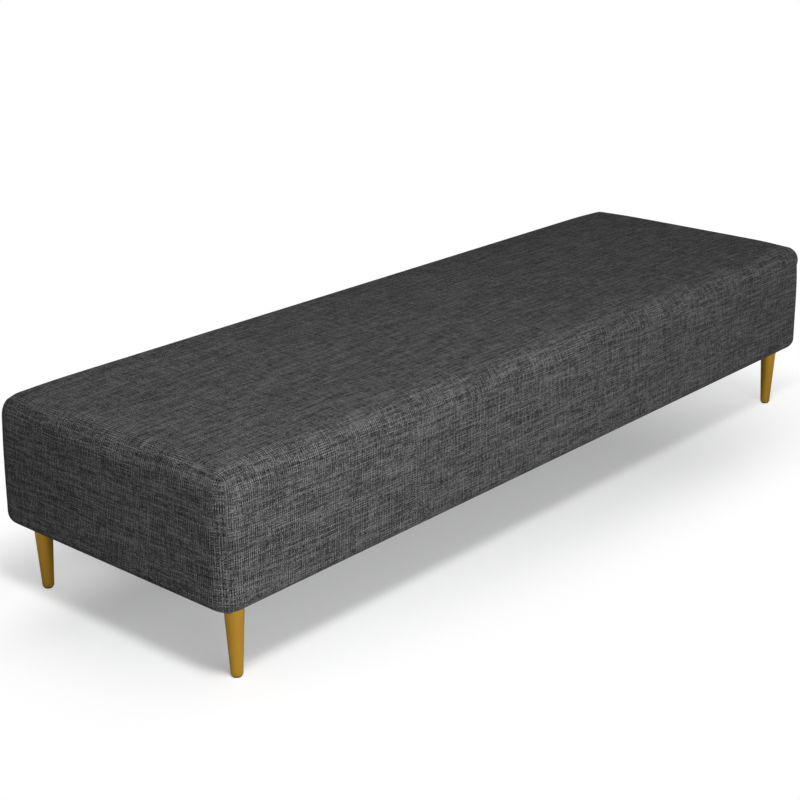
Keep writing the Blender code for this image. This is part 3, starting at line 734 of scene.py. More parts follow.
@dataclass
class PaddedBody:
    """The upholstered box: covers sewn at the ends' rolled edges, over foam."""

    length: float = 2.032
    depth: float = 0.6604
    bottom: float = 0.1538
    height: float = 0.273
    crown: float = 0.005
    corner_roll: float = 0.046
    shoulder_drop: float = 0.0515
    bottom_roll: float = 0.021
    side_lean: float = 0.010
    hem_corner: float = 0.005
    fabric: float = 0.0012
    padding_inset: float = 0.0015
    foam_bottom: float = 0.3403
    seam_turn: float = math.radians(40.5)
    seam_drift: float = math.radians(2.6)
    seam_drift_reach: float = 0.20
    seam_dip: float = math.radians(7.0)
    seam_dip_fall: float = 0.013
    seam_dip_seat: float = 0.043
    front_ear: float = 0.0068
    ear_rise: float = 0.52
    front_draw: float = 0.0062
    front_reach: float = 0.070
    back_draw: float = 0.0041
    back_reach: float = 0.093
    crease: float = 0.0033
    crease_reach: float = 0.008
    crease_reach_end: float = 0.011
    groove_depth: float = 0.0006
    groove_width: float = 0.0011
    pucker_height: float = 0.00014
    pucker_length: float = 0.0135
    pucker_reach: float = 0.009
    thread: float = 0.00032
    stitch: float = 0.0036
    stitch_dip: float = 0.00025
    cell: float = 0.009
    sim_cell: float = 0.018
    swell: float = 0.0016
    swell_ease: float = 0.020
    settled: Optional[tuple[Array, Array, Array]] = None

    @property
    def core_x(self) -> float:
        """Half length to the roll's core."""
        return self.length / 2 - self.corner_roll

    @property
    def core_y(self) -> float:
        """Half depth to the roll's core."""
        return self.depth / 2 - self.corner_roll

    @property
    def shoulder(self) -> float:
        """Level at which the sides start to roll over."""
        return self.bottom + self.height - self.shoulder_drop

    def stations(self, inset: float, cell: float, first_level: Optional[float] = None) -> Stations:
        """Places round the section, a distance inside the outer face.

        From the hem the section runs flat outwards, round a quarter of the bottom roll, up the
        side, round a quarter ellipse over the shoulder, and across the seat, and then the same
        way down the back.

        Args:
            inset: Distance inside the fabric's outer face.
            cell: Spacing of the stations.
            first_level: Level of the first station, for a piece without hem and bottom roll.

        Returns:
            The stations.
        """
        sizes = (self.corner_roll, self.shoulder_drop, self.bottom_roll)
        roll, drop, low = (size - inset for size in sizes)
        # Each part: level, out, up, how far it faces out, up and down, and how far it has rolled.
        if first_level is None:
            start, hem_out = self.bottom + self.bottom_roll, self.corner_roll - self.bottom_roll
            hem = np.linspace(self.hem_corner, hem_out, 5)[:-1]
            turn = np.linspace(0.0, QUARTER, 9)
            sine, cosine = np.sin(turn), np.cos(turn)
            parts = [
                (self.bottom + inset, hem, 0.0, 0.0, 0.0, 1.0, 0.0),
                (start - low * cosine, hem_out + low * sine, 0.0, sine, 0.0, cosine, 0.0),
            ]
        else:
            start = first_level
            parts = [(np.array([start]), roll, 0.0, 1.0, 0.0, 0.0, 0.0)]
        count = max(2, round((self.shoulder - start) / cell))
        levels = np.linspace(start, self.shoulder, count + 1)[1:]
        parts.append((levels, roll, 0.0, 1.0, 0.0, 0.0, 0.0))
        turn = np.linspace(0.0, QUARTER, 15)[1:]
        sine, cosine = np.sin(turn), np.cos(turn)
        parts.append((self.shoulder, roll * cosine, drop * sine, cosine, sine, 0.0, turn))
        columns = zip(*(np.broadcast_arrays(*part) for part in parts))
        z, out, up, face_out, face_up, face_down, turn = (np.concatenate(part) for part in columns)
        seat_y = np.linspace(-self.core_y, self.core_y, round(2 * self.core_y / cell) + 1)[1:-1]

        def both(part: Array, seat: float, sign: float = 1.0) -> Array:
            """The front half, the seat and the mirrored back half."""
            return np.concatenate([part, np.full(len(seat_y), seat), sign * part[::-1]])

        along = np.where(turn > 0.0, roll, out)
        steps = np.hypot(np.diff(-(self.core_y + out)), np.diff(z + up))
        front = np.concatenate([[0.0], np.cumsum(steps)])
        back = front[-1] + 2 * self.core_y + (front[-1] - front[::-1])
        side, core = np.full(len(z), -1.0), np.full(len(z), -self.core_y)
        return Stations(
            core_y=np.concatenate([core, seat_y, -core]),
            core_z=both(z, z[-1]),
            out=both(out, out[-1]),
            up=both(up, up[-1]),
            along=both(along, along[-1]),
            side=both(side, 0.0, -1.0),
            facing_out=both(face_out, 0.0),
            facing_up=both(face_up, 1.0),
            facing_down=both(face_down, 0.0),
            roll=both(turn, QUARTER),
            distance=np.concatenate([front, front[-1] + (seat_y + self.core_y), back]),
        )

    def seam_at(self, stations: Stations) -> Array:
        """The turn at which the seam lies: less by a drift and by a bell about the top corner.

        Both are bells of the distance past the middle of the shoulder's roll. The drift's is
        wide, and the other reaches further along the seat than down the side.
        """
        arc = QUARTER * (self.corner_roll + self.shoulder_drop) / 2
        past = np.abs(stations.distance - stations.distance[-1] / 2) - self.core_y - arc / 2
        bell = np.exp(-((past / np.where(past > 0.0, self.seam_dip_fall, self.seam_dip_seat)) ** 2))
        drift = self.seam_drift * np.exp(-((past / self.seam_drift_reach) ** 2))
        return self.seam_turn - self.seam_dip * bell - drift * np.where(past > 0.0, 1.0, bell)

    def drawn_in(self, x: Array, y: Array, z: Array) -> Array:
        """How far the cover is pulled in about the top corners: a bell of the distance to each."""
        away = (self.length / 2 - np.abs(x)) ** 2 + (self.depth / 2 - np.abs(y)) ** 2
        away = away + (self.bottom + self.height - z) ** 2
        front = self.front_draw * np.exp(-away / self.front_reach**2)
        back = self.back_draw * np.exp(-away / self.back_reach**2)
        return np.where(y < 0.0, front, back)

    def leaned(self, x: Array, y: Array, z: Array) -> Array:
        """Points whose ends and sides lean in with the height."""
        up = self.side_lean * (z - self.bottom)
        x, y = x * (1 - up / (self.length / 2)), y * (1 - up / (self.depth / 2))
        return np.stack([x, y, z], axis=-1)

    def skin(
        self, core_x: Array, places: Array, stations: Stations, lift: Union[float, Array] = 0.0
    ) -> tuple[Array, Array]:
        """Points of the body's surface, one row for each place along it.

        A place is 0 on the straight, 1 on the seam and 2 on the flat of the right end, and
        negative towards the left one. It sets the angle that the row has turned towards the end.
        A point is its core, plus the reach towards the end times the angle's sine, plus the
        sideways and upward reach times its cosine. The seat's crown is a bell along the bench
        times one less the fourth power across it. The front's top corners stand proud, by the
        product of the three parts of the surface's direction. The sides lean in with the height.
        The lift stands off along the surface's own direction.

        Args:
            core_x: Core of each row.
            places: Place of each row.
            stations: Places round the section.
            lift: Distance off the surface, by row and column.

        Returns:
            Points by row and column, and the angle of each.
        """
        core_x, places = core_x[:, None], places[:, None]
        share, sign = np.abs(places), np.sign(places)
        seam = self.seam_at(stations)
        turn = np.minimum(share, 1) * seam + np.maximum(share - 1, 0) * (QUARTER - seam)
        sine, cosine = np.sin(turn), np.cos(turn)
        x = core_x + sign * stations.along * sine
        y = stations.core_y + stations.side * stations.out * cosine
        z = stations.core_z + stations.up * cosine
        across = np.clip(np.abs(y) / self.core_y, 0.0, 1.0)
        lengthwise = np.clip(np.abs(x) / self.core_x, 0.0, 1.0)
        bell = (1 - lengthwise**4) ** 2 * (1 - across**4)
        z = z + self.crown * bell * cosine * stations.facing_up
        facing = sine * cosine**2 * np.sin(stations.roll) * np.cos(stations.roll)
        ear = 3 * math.sqrt(3) * self.front_ear * facing * (stations.side < 0)
        lift = lift - self.drawn_in(x, y, z)
        sideways = np.where(stations.roll > 0.0, 1.0, stations.facing_out)
        x = x + sign * (lift + ear) * sine * sideways
        y = y + stations.side * (lift + ear) * cosine * stations.facing_out
        z = z + (lift + ear * self.ear_rise) * cosine * stations.facing_up
        z = z - lift * stations.facing_down
        return self.leaned(x, y, z), turn

    def rows(self, last: float, cell: float, fine: bool) -> tuple[Array, Array, Array]:
        """Rows of the main panel: round one end, straight on, and round the other.

        Args:
            last: Place of the outermost rows.
            cell: Spacing on the straight.
            fine: Whether rows crowd towards the seam.

        Returns:
            Core, place and distance along the cloth of each row.
        """
        beyond = max(last - 1, 0) * (QUARTER - self.seam_turn)
        span = self.corner_roll * (min(last, 1) * self.seam_turn + beyond)
        if fine:
            away = np.concatenate([NEAR_SEAM, [0.0240, 0.0290, span]])
        else:
            away = np.linspace(0.0, span, max(3, round(span / cell * 1.5)) + 1)
        near = 1.0 - away / span
        straight = np.linspace(-self.core_x, self.core_x, round(2 * self.core_x / cell) + 1)[1:-1]
        core = np.full(len(near), self.core_x)
        core_x = np.concatenate([-core, straight, core])
        places = np.concatenate([-near * last, np.zeros(len(straight)), near[::-1] * last])
        distance = np.concatenate([-core - near * span, straight, core + near[::-1] * span])
        return core_x, places, distance

    def seam_shape(self, away: Array, distance: Array, reach: float) -> Array:
        """Lift near the seam: a crease, a bell-shaped groove, and puckers that fade from it.

        Args:
            away: Distance from the seam.
            distance: Distance along the seam.
            reach: How far the crease's lift reaches into the panel.

        Returns:
            Lift at each.
        """
        groove = -self.groove_depth * np.exp(-((away / self.groove_width) ** 2))
        groove = groove + self.crease * np.exp(-away / reach)
        bend = smooth_noise(distance, [(0.9, 0.090, 0.4), (0.6, 0.052, 2.1)])
        strength = 0.65 + 0.35 * smooth_noise(distance, [(0.7, 0.130, 1.0), (0.3, 0.061, 0.2)])
        wave = np.sin(math.tau * distance / self.pucker_length + bend)
        pucker = self.pucker_height * strength * wave
        fade = np.exp(-((away / self.pucker_reach) ** 2)) * (1 - np.exp(-((away / 0.003) ** 2)))
        return groove + pucker * fade

    def settle(self) -> None:
        """Lets the main panel swell over its foam as cloth, held at its seams and hems.

        A coarse copy of the panel is blown out by a light pressure. How far each point moved off
        the surface, capped, is kept with the rows' and columns' distances.
        """
        stations = self.stations(0.0, self.sim_cell)
        core_x, places, distance = self.rows(1.0, self.sim_cell, fine=False)
        points, turn = self.skin(core_x, places, stations)
        lay = np.zeros((*turn.shape, 2))
        piece = grid_piece("settling_panel", [(points, lay, False)], weld=0.0)
        index = np.arange(turn.size).reshape(turn.shape)
        rim = [index[0], index[-1], index[:, stations.facing_down > 0.5].ravel()]
        held = piece.vertex_groups.new(name="held")
        held.add(np.unique(np.concatenate(rim)).tolist(), 1.0, "REPLACE")
        cloth = piece.modifiers.new("settling", "CLOTH")
        for key, value in SETTLING.items():
            setattr(cloth.settings, key, value)
        cloth.settings.effector_weights.gravity = 0.0
        cloth.collision_settings.use_collision = False
        cloth.collision_settings.use_self_collision = False
        cloth.point_cache.frame_start, cloth.point_cache.frame_end = 1, SETTLING_FRAMES
        for step in range(1, SETTLING_FRAMES + 1):
            bpy.context.scene.frame_set(step)
        mesh = piece.evaluated_get(bpy.context.evaluated_depsgraph_get()).to_mesh()
        moved = np.empty(points.size, np.float32)
        mesh.vertices.foreach_get("co", moved)
        cosine = np.cos(turn)
        facing = (
            np.sin(turn) * np.sign(places)[:, None],
            stations.side * cosine * stations.facing_out,
            cosine * stations.facing_up,
        )
        off = (moved.reshape(points.shape) - points) * np.stack(facing, axis=-1)
        off = np.clip(off.sum(axis=-1), 0.0, None)
        kept = self.swell * np.tanh(off / self.swell_ease)
        most, left = off.max() * 1000, kept.max() * 1000
        LOG.info("settling: cloth moved %.2f mm at most, %.2f mm kept", most, left)
        self.settled = (kept, distance, stations.distance)
        bpy.context.scene.frame_set(1)
        bpy.data.objects.remove(piece, do_unlink=True)

    def swelling(self, distance: Array, stations: Stations) -> Union[float, Array]:
        """The settled lift of the main panel at finer rows and columns, nothing if not settled."""
        if self.settled is None:
            return 0.0
        lift, rows, columns = self.settled
        across = reading_weights(columns, stations.distance)
        return reading_weights(rows, distance) @ lift @ across.T

    def main_panel(self) -> tuple[Piece, tuple[float, float]]:
        """The panel over front, seat and back, and the size of its flat cloth."""
        stations = self.stations(0.0, self.cell)
        core_x, places, distance = self.rows(1.0, self.cell, fine=True)
        away = np.minimum(distance - distance[0], distance[-1] - distance)[:, None]
        lift = self.seam_shape(away, stations.distance[None, :], self.crease_reach)
        points, _ = self.skin(core_x, places, stations, lift + self.swelling(distance, stations))
        lay = np.stack(np.meshgrid(distance, stations.distance, indexing="ij"), axis=-1)
        piece = grid_piece("seat_cover", [(points, lay, False)])
        add_thickness(piece, self.fabric)
        return piece, (float(stations.distance[-1]), float(distance[-1] - distance[0]))

    def end_panel(self, end: str, direction: int) -> tuple[Piece, tuple[float, float]]:
        """An end panel: its rolled border from the seam to the flat, then the flat and its hem.

        The map is the panel laid out flat: a border point lies the roll times the angle still to
        go beyond its core, in the direction that it faces round the section.

        Args:
            end: The end's name.
            direction: Its side along X.

        Returns:
            The piece, and the size of its flat cloth.
        """
        stations = self.stations(0.0, self.cell)
        span = self.corner_roll * (QUARTER - self.seam_turn)
        away = np.concatenate([NEAR_SEAM, [0.0245, 0.0305, span]])[:, None]
        places = direction * (1.0 + away[:, 0] / span)
        lift = self.seam_shape(away, stations.distance[None, :], self.crease_reach_end)
        lift = lift * (1 - (away / span) ** 4)
        core_x = np.full(len(places), direction * self.core_x)
        border, turn = self.skin(core_x, places, stations, lift)
        half = int(np.argmax(stations.side == 0.0))
        straight = half - int((stations.roll[:half] > 0).sum())
        run = np.minimum(stations.distance, stations.distance[-1] - stations.distance)
        level = self.shoulder + np.minimum(run - run[straight - 1], 0.0)
        left = self.corner_roll * (QUARTER - turn)
        u = stations.core_y + stations.side * left * np.cos(stations.roll)
        border_lay = np.stack([u, level + left * np.sin(stations.roll)], axis=-1)
        rising = stations.pick(slice(0, straight))
        x, y, z = np.broadcast_arrays(
            direction * (self.core_x + rising.along)[:, None],
            stations.core_y[half - 1 : len(stations.core_y) - half + 1],
            rising.core_z[:, None],
        )
        pulled = self.drawn_in(x, y, z)
        x = x - direction * pulled * rising.facing_out[:, None]
        flat = self.leaned(x, y, z + pulled * rising.facing_down[:, None])
        flat_lay = np.stack(np.broadcast_arrays(y, level[:straight, None]), axis=-1)
        patches = [(border, border_lay, direction < 0), (flat, flat_lay, direction > 0)]
        piece = grid_piece(f"end_cover_{end}", patches, weld=2e-6)
        add_thickness(piece, self.fabric)
        return piece, (2 * (self.core_y + span), float(rising.distance[-1]) + span)

    def seam_thread(self, end: str, direction: int) -> Piece:
        """The thread in a seam's groove: a thin tube that dips between stitches."""
        stations = self.stations(0.0, 0.0012)
        keep = stations.pick(slice(4, len(stations.side) - 4))
        dip = self.stitch_dip * np.abs(np.sin(math.pi * keep.distance / self.stitch))
        base, place = np.array([direction * self.core_x]), np.array([float(direction)])
        rise = self.crease - self.groove_depth * 0.72
        path = self.skin(base, place, keep, rise - dip)[0][0]
        upward = self.skin(base, place, keep, rise + 0.001)[0][0] - path
        ahead = np.gradient(path, axis=0)
        upward, ahead = (
            way / np.linalg.norm(way, axis=1, keepdims=True) for way in (upward, ahead)
        )
        turn = np.linspace(0.0, math.tau, 7)
        section = self.thread * np.column_stack([np.cos(turn), np.sin(turn)])
        section[-1] = section[0]
        return carried(f"seam_thread_{end}", path, np.cross(upward, ahead), upward, section)

    def seat_foam(self) -> Piece:
        """The crowned seat foam, rolled over at its top edges and flat underneath."""
        cell = self.cell * 2
        stations = self.stations(self.padding_inset, cell, self.foam_bottom)
        core_x, places, distance = self.rows(2.0, cell, fine=False)
        points, _ = self.skin(core_x, places, stations)
        lay = np.stack(np.meshgrid(distance, stations.distance, indexing="ij"), axis=-1)
        underneath = np.stack([points[:, 0], points[:, -1]], axis=1)
        patches = [(points, lay, False), from_above(underneath, True)]
        half = points.shape[1] // 2 + 1
        for row, turned in ((points[0], False), (points[-1], True)):
            wall = np.stack([row[:half], row[::-1][:half]])
            patches.append((wall, wall[..., 1:], turned))
        return grid_piece("seat_foam_block", patches, weld=5e-6)


@dataclass
class SidePads:
    """Foam pads round the frame, between the rails and the covers."""

    body: PaddedBody
    frame_x: float = 0.9935
    frame_y: float = 0.3077
    clearance: float = 0.0003

    def ring(self) -> Piece:
        """The outline that all the pads share, filled: rings stacked from the hem to the foam."""
        body = self.body
        stations = body.stations(body.padding_inset, body.cell * 2)
        rising = stations.pick(slice(4, int((stations.side < 0).sum())))
        top = body.foam_bottom - self.clearance
        chosen = rising.core_z + rising.up < top
        level = np.append(rising.core_z[chosen], top)
        reach = np.append(rising.out[chosen], body.corner_roll - body.padding_inset)[:, None]
        quarter = np.linspace(0.0, QUARTER, 13)
        turn = np.concatenate([quarter, quarter[::-1], quarter, quarter[::-1], [0.0]])
        sign_x, sign_y = (
            np.repeat(signs, len(quarter))[: len(turn)]
            for signs in ((1, 1, -1, -1, 1), (1, -1, -1, 1, 1))
        )
        x = sign_x * (body.core_x + reach * np.sin(turn))
        y = sign_y * (body.core_y + reach * np.cos(turn))
        z = np.broadcast_to(level[:, None], x.shape)
        pulled = body.drawn_in(x, y, z)
        x, y = x - sign_x * pulled * np.sin(turn), y - sign_y * pulled * np.cos(turn)
        grid, lay, turned = from_above(body.leaned(x, y, z), True)
        middles = [np.array([0.0, 0.0, level[row]]) for row in (0, -1)]
        patches = [(grid, lay, turned), *lids(grid, lay, middles, False)]
        piece = grid_piece("pad_ring", patches, weld=2e-6)
        form = bmesh.new()
        form.from_mesh(piece.data)
        bmesh.ops.recalc_face_normals(form, faces=form.faces)
        form.to_mesh(piece.data)
        form.free()
        return piece

    def pads(self) -> dict[str, Piece]:
        """Cuts the four pads out of the ring, the long ones with the corners' outer half."""
        ring = self.ring()
        wide = 2 * self.body.depth
        x, y = (inner + self.clearance + wide / 2 for inner in (self.frame_x, self.frame_y))
        ways = {"front": (0, -1), "back": (0, 1), "left": (-1, 0), "right": (1, 0)}
        made = {}
        for place, way in ways.items():
            size = (self.body.length + wide, wide) if way[1] else (wide, 2 * self.frame_y)
            mesh = bpy.data.meshes.new("pad_block")
            form = bmesh.new()
            bmesh.ops.create_cube(form, size=1.0)
            bmesh.ops.scale(form, vec=(*size, 2.0), verts=form.verts)
            bmesh.ops.translate(form, vec=(way[0] * x, way[1] * y, 0.0), verts=form.verts)
            form.to_mesh(mesh)
            form.free()
            whole = put_in_scene("pad_whole", ring.data.copy())
            block = put_in_scene("pad_block", mesh)
            pad = carved(f"side_foam_{place}", whole, [block], "INTERSECT")
            pad.set_sharp_from_angle(angle=math.radians(40))
            made[place] = put_in_scene(pad.name, pad)
        bpy.data.objects.remove(ring, do_unlink=True)
        return made


@dataclass
class Underside:
    """The dust cover and the staples that hold it."""

    half_x: float = 0.987
    half_y: float = 0.3012
    corner: float = 0.017
    level: float = 0.1527
    sheet: float = 0.0008
    sag: float = 0.0012
    fold: float = 0.013
    hole: float = 0.005
    leg_x: float = 0.9515
    leg_y: float = 0.2785
    leg_reach: float = 0.05
    staple_pitch: float = 0.062
    staple_length: float = 0.0105
    staple_wire: float = 0.0011
    staple_height: float = 0.0005
    staple_seat: float = 0.0001

    def outline(self, inset: float, count: int) -> Array:
        """Points round a rounded rectangle inside the sheet's edge, even along its length, closed.

        They run anticlockwise from the middle of the right side.
        """
        half_x, half_y = self.half_x - inset, self.half_y - inset
        radius = max(self.corner - inset, 0.002)
        arcs = [np.array([[half_x, 0.0]])]
        for quarter, (sx, sy) in enumerate([(1, 1), (-1, 1), (-1, -1), (1, -1)]):
            angle = np.linspace(0.0, QUARTER, 9) + quarter * QUARTER
            centre = np.array([sx * (half_x - radius), sy * (half_y - radius)])
            arcs.append(centre + radius * np.column_stack([np.cos(angle), np.sin(angle)]))
        corners = np.concatenate([*arcs, arcs[0]])
        run = travelled(corners)
        return self.on_line(np.linspace(0.0, run[-1], count + 1), run, corners)

    @staticmethod
    def on_line(at: Array, run: Array, points: Array) -> Array:
        """Points at some distances along a line that is known by its own points and distances."""
        return np.column_stack([np.interp(at, run, points[:, i]) for i in (0, 1)])

    def cloth(self) -> Piece:
        """The sheet: rings from its edge towards its middle line, with a hole for each bolt.

        It sags a little between the stretchers, and less near the legs.
        """
        edge = self.outline(0.0, 480)
        share = np.concatenate([np.linspace(0.0, 0.05, 6), np.linspace(0.09, 1.0, 22)])
        share = share[:, None, None]
        spine = edge * np.array([1.0, 0.0])
        reach = self.half_x - self.half_y
        spine[:, 0] = np.clip(spine[:, 0], -reach, reach)
        grid = edge * (1 - share) + spine * share
        x, y = np.abs(grid[..., 0]), np.abs(grid[..., 1])
        inside = np.clip((self.half_y - y) / self.half_y, 0.0, 1.0)
        ends = np.clip((self.half_x - x) / 0.2, 0.0, 1.0)
        sag = self.sag * np.sin(inside * QUARTER) ** 2 * ends**2 * (1 + 0.4 * np.cos(x * 9.0))
        near_leg = np.exp(-(((x - self.leg_x) ** 2 + (y - self.leg_y) ** 2) / self.leg_reach**2))
        z = self.level - sag * (1 - near_leg)
        grid = np.concatenate([grid, z[..., None]], axis=-1)
        whole = grid_piece("dust_sheet_whole", [from_above(grid)])
        add_thickness(whole, self.sheet)
        radius = np.array([[0.0], [self.hole], [self.hole], [0.0]])
        height = self.level + np.array([[0.01], [0.01], [-0.01], [-0.01]])
        centres = [corner.at(self.leg_x, self.leg_y) for corner in Corner]
        punches = [turned_piece("punch", radius, height, centre, 32) for centre in centres]
        return put_in_scene("dust_sheet", carved("dust_sheet", whole, punches, "DIFFERENCE"))

    def staples(self) -> Piece:
        """Flat-topped staples round the hem, each a crown with two short rounded legs."""
        line = self.outline(self.fold * 0.55, 4000)
        run = travelled(line)
        count = int(run[-1] / self.staple_pitch)
        at = (np.arange(count) + 0.5) * run[-1] / count
        here, ahead = (self.on_line(at + step, run, line) for step in (0.0, 0.002))
        lean = np.random.default_rng(7).normal(0.0, 0.12, count)
        angle = np.arctan2(*(ahead - here).T[::-1]) + lean
        half, wire, rise = self.staple_length / 2, self.staple_wire / 2, self.staple_height
        along = np.array([-half, -half + 0.0004, half - 0.0004, half])[:, None]
        drop = np.array([0.0, rise, rise, 0.0])[:, None]
        local = np.stack(np.broadcast_arrays(along, np.array([-wire, wire]), -drop), axis=-1)
        top = np.stack([local[..., 0], local[..., 1], np.full((4, 2), self.staple_seat)], axis=-1)
        patches = []
        for (x, y), cosine, sine in zip(here, np.cos(angle), np.sin(angle)):
            turn = np.array([[cosine, sine, 0.0], [-sine, cosine, 0.0], [0.0, 0.0, 1.0]])
            place = np.array([x, y, self.level - self.staple_seat])
            crown, base = local @ turn + place, top @ turn + place
            patches.append(from_above(crown, True))
            for edge in (0, 1):
                wall = np.stack([crown[:, edge], base[:, edge]], axis=1)
                patches.append(from_above(wall, edge == 0))
        return grid_piece("dust_sheet_staples", patches)


@dataclass
class Webbing:
    """Straps woven over and under each other, on the rails."""

    inner_x: float = 0.9755
    inner_y: float = 0.2897
    frame_x: float = 0.9935
    frame_y: float = 0.3077
    setback: float = 0.004
    width: float = 0.050
    thickness: float = 0.002
    edge: float = 0.0006
    margin: float = 0.006
    clearance: float = 0.0003
    cross_count: int = 13
    long_count: int = 3
    level: float = 0.33755

    def wave(self, crossings: Array, first_sign: int, rail: float, end: float) -> Array:
        """Middle line of a strap: level on the rails, over or under each strap that it meets.

        Between two levels it follows an S-shaped ramp, three times the square less twice the cube
        of the way across.

        Args:
            crossings: Middles of the straps it meets.
            first_sign: 1 if it passes over the first of them, -1 if under.
            rail: Half distance between the rails' inner edges.
            end: Half length of the strap.

        Returns:
            Two rows: distance along, and height about the middle level.
        """
        half, rise = self.width / 2 + self.margin, (self.thickness + self.clearance) / 2
        signs = first_sign * (-1.0) ** np.arange(len(crossings))
        meets = np.column_stack([crossings - half, crossings + half]).ravel()
        edges = np.concatenate([[-rail], meets, [rail]])
        heights = np.concatenate([[0.0], np.repeat(signs * rise, 2), [0.0]])
        along = np.unique(np.concatenate([np.linspace(-end, end, int(end / 0.004)), edges]))
        slot = np.clip(np.searchsorted(edges, along, side="right") - 1, 0, len(edges) - 2)
        share = np.clip((along - edges[slot]) / (edges[slot + 1] - edges[slot]), 0.0, 1.0)
        height = heights[slot] + (heights[slot + 1] - heights[slot]) * share**2 * (3 - 2 * share)
        return np.stack([along, np.where(np.abs(along) >= rail, 0.0, height)])

    def strap(self, name: str, line: Array, offset: float, crosswise: bool) -> Piece:
        """One strap: a flat oval section carried along its middle line.

        Args:
            name: The piece's name.
            line: Distance along the strap, and height about the middle level.
            offset: Place of the strap across the frame.
            crosswise: Whether it runs front to back.

        Returns:
            The piece.
        """
        along, height = line
        order = [1, 0, 2] if crosswise else [0, 1, 2]
        flat = np.zeros(len(along))
        path = np.column_stack([along, flat + offset, self.level + height])[:, order]
        upward = np.column_stack([-np.gradient(height, along), flat, flat + 1])[:, order]
        upward /= np.linalg.norm(upward, axis=1, keepdims=True)
        sideways = np.tile([1.0, 0.0, 0.0] if crosswise else [0.0, -1.0, 0.0], (len(along), 1))
        half, thick = self.width / 2, self.thickness / 2
        right = np.array([half / 2, half - self.edge, half])
        across = np.concatenate([-right[::-1], [0.0], right])
        lift = thick * np.array([0.45, 1.0, 1.0, 1.0, 1.0, 1.0, 0.45])
        top, low = np.column_stack([across, lift]), np.column_stack([across, -lift])[::-1]
        return carried(name, path, sideways, upward, np.concatenate([top, low, top[:1]])[::-1])

    def straps(self) -> list[tuple[str, str, Piece, float]]:
        """All the straps: the set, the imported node's name, the piece and its length."""
        cross_x, long_y = (
            -inner + 2 * inner / count * (np.arange(count) + 0.5)
            for inner, count in ((self.inner_x, self.cross_count), (self.inner_y, self.long_count))
        )
        sets = (
            ("cross", "02d", cross_x, long_y, self.inner_y, self.frame_y, 1),
            ("long", "d", long_y, cross_x, self.inner_x, self.frame_x, -1),
        )
        made = []
        for kind, digits, places, met, rail, outer, sign in sets:
            end = outer - self.setback
            for i, place in enumerate(places):
                number = format(i + 1, digits)
                line = self.wave(met, sign * (-1) ** i, rail, end)
                piece = self.strap(f"webbing_{kind}_{number}", line, place, kind == "cross")
                made.append((kind, f"{kind}_strap_{number}", piece, 2 * end))
        return made


@dataclass
class SpringCloth:
    """The woven cloth that lies on the webbing."""

    half_x: float = 0.9905
    half_y: float = 0.3047
    bottom: float = 0.3390
    thickness: float = 0.001

    def cloth(self) -> Piece:
        """A level sheet, with its thickness below its upper face."""
        x = np.linspace(-self.half_x, self.half_x, 100)[:, None]
        y = np.linspace(-self.half_y, self.half_y, 32)
        grid = np.stack(np.broadcast_arrays(x, y, self.bottom + self.thickness), axis=-1)
        piece = grid_piece("webbing_cloth", [from_above(grid)])
        add_thickness(piece, self.thickness)
        return piece


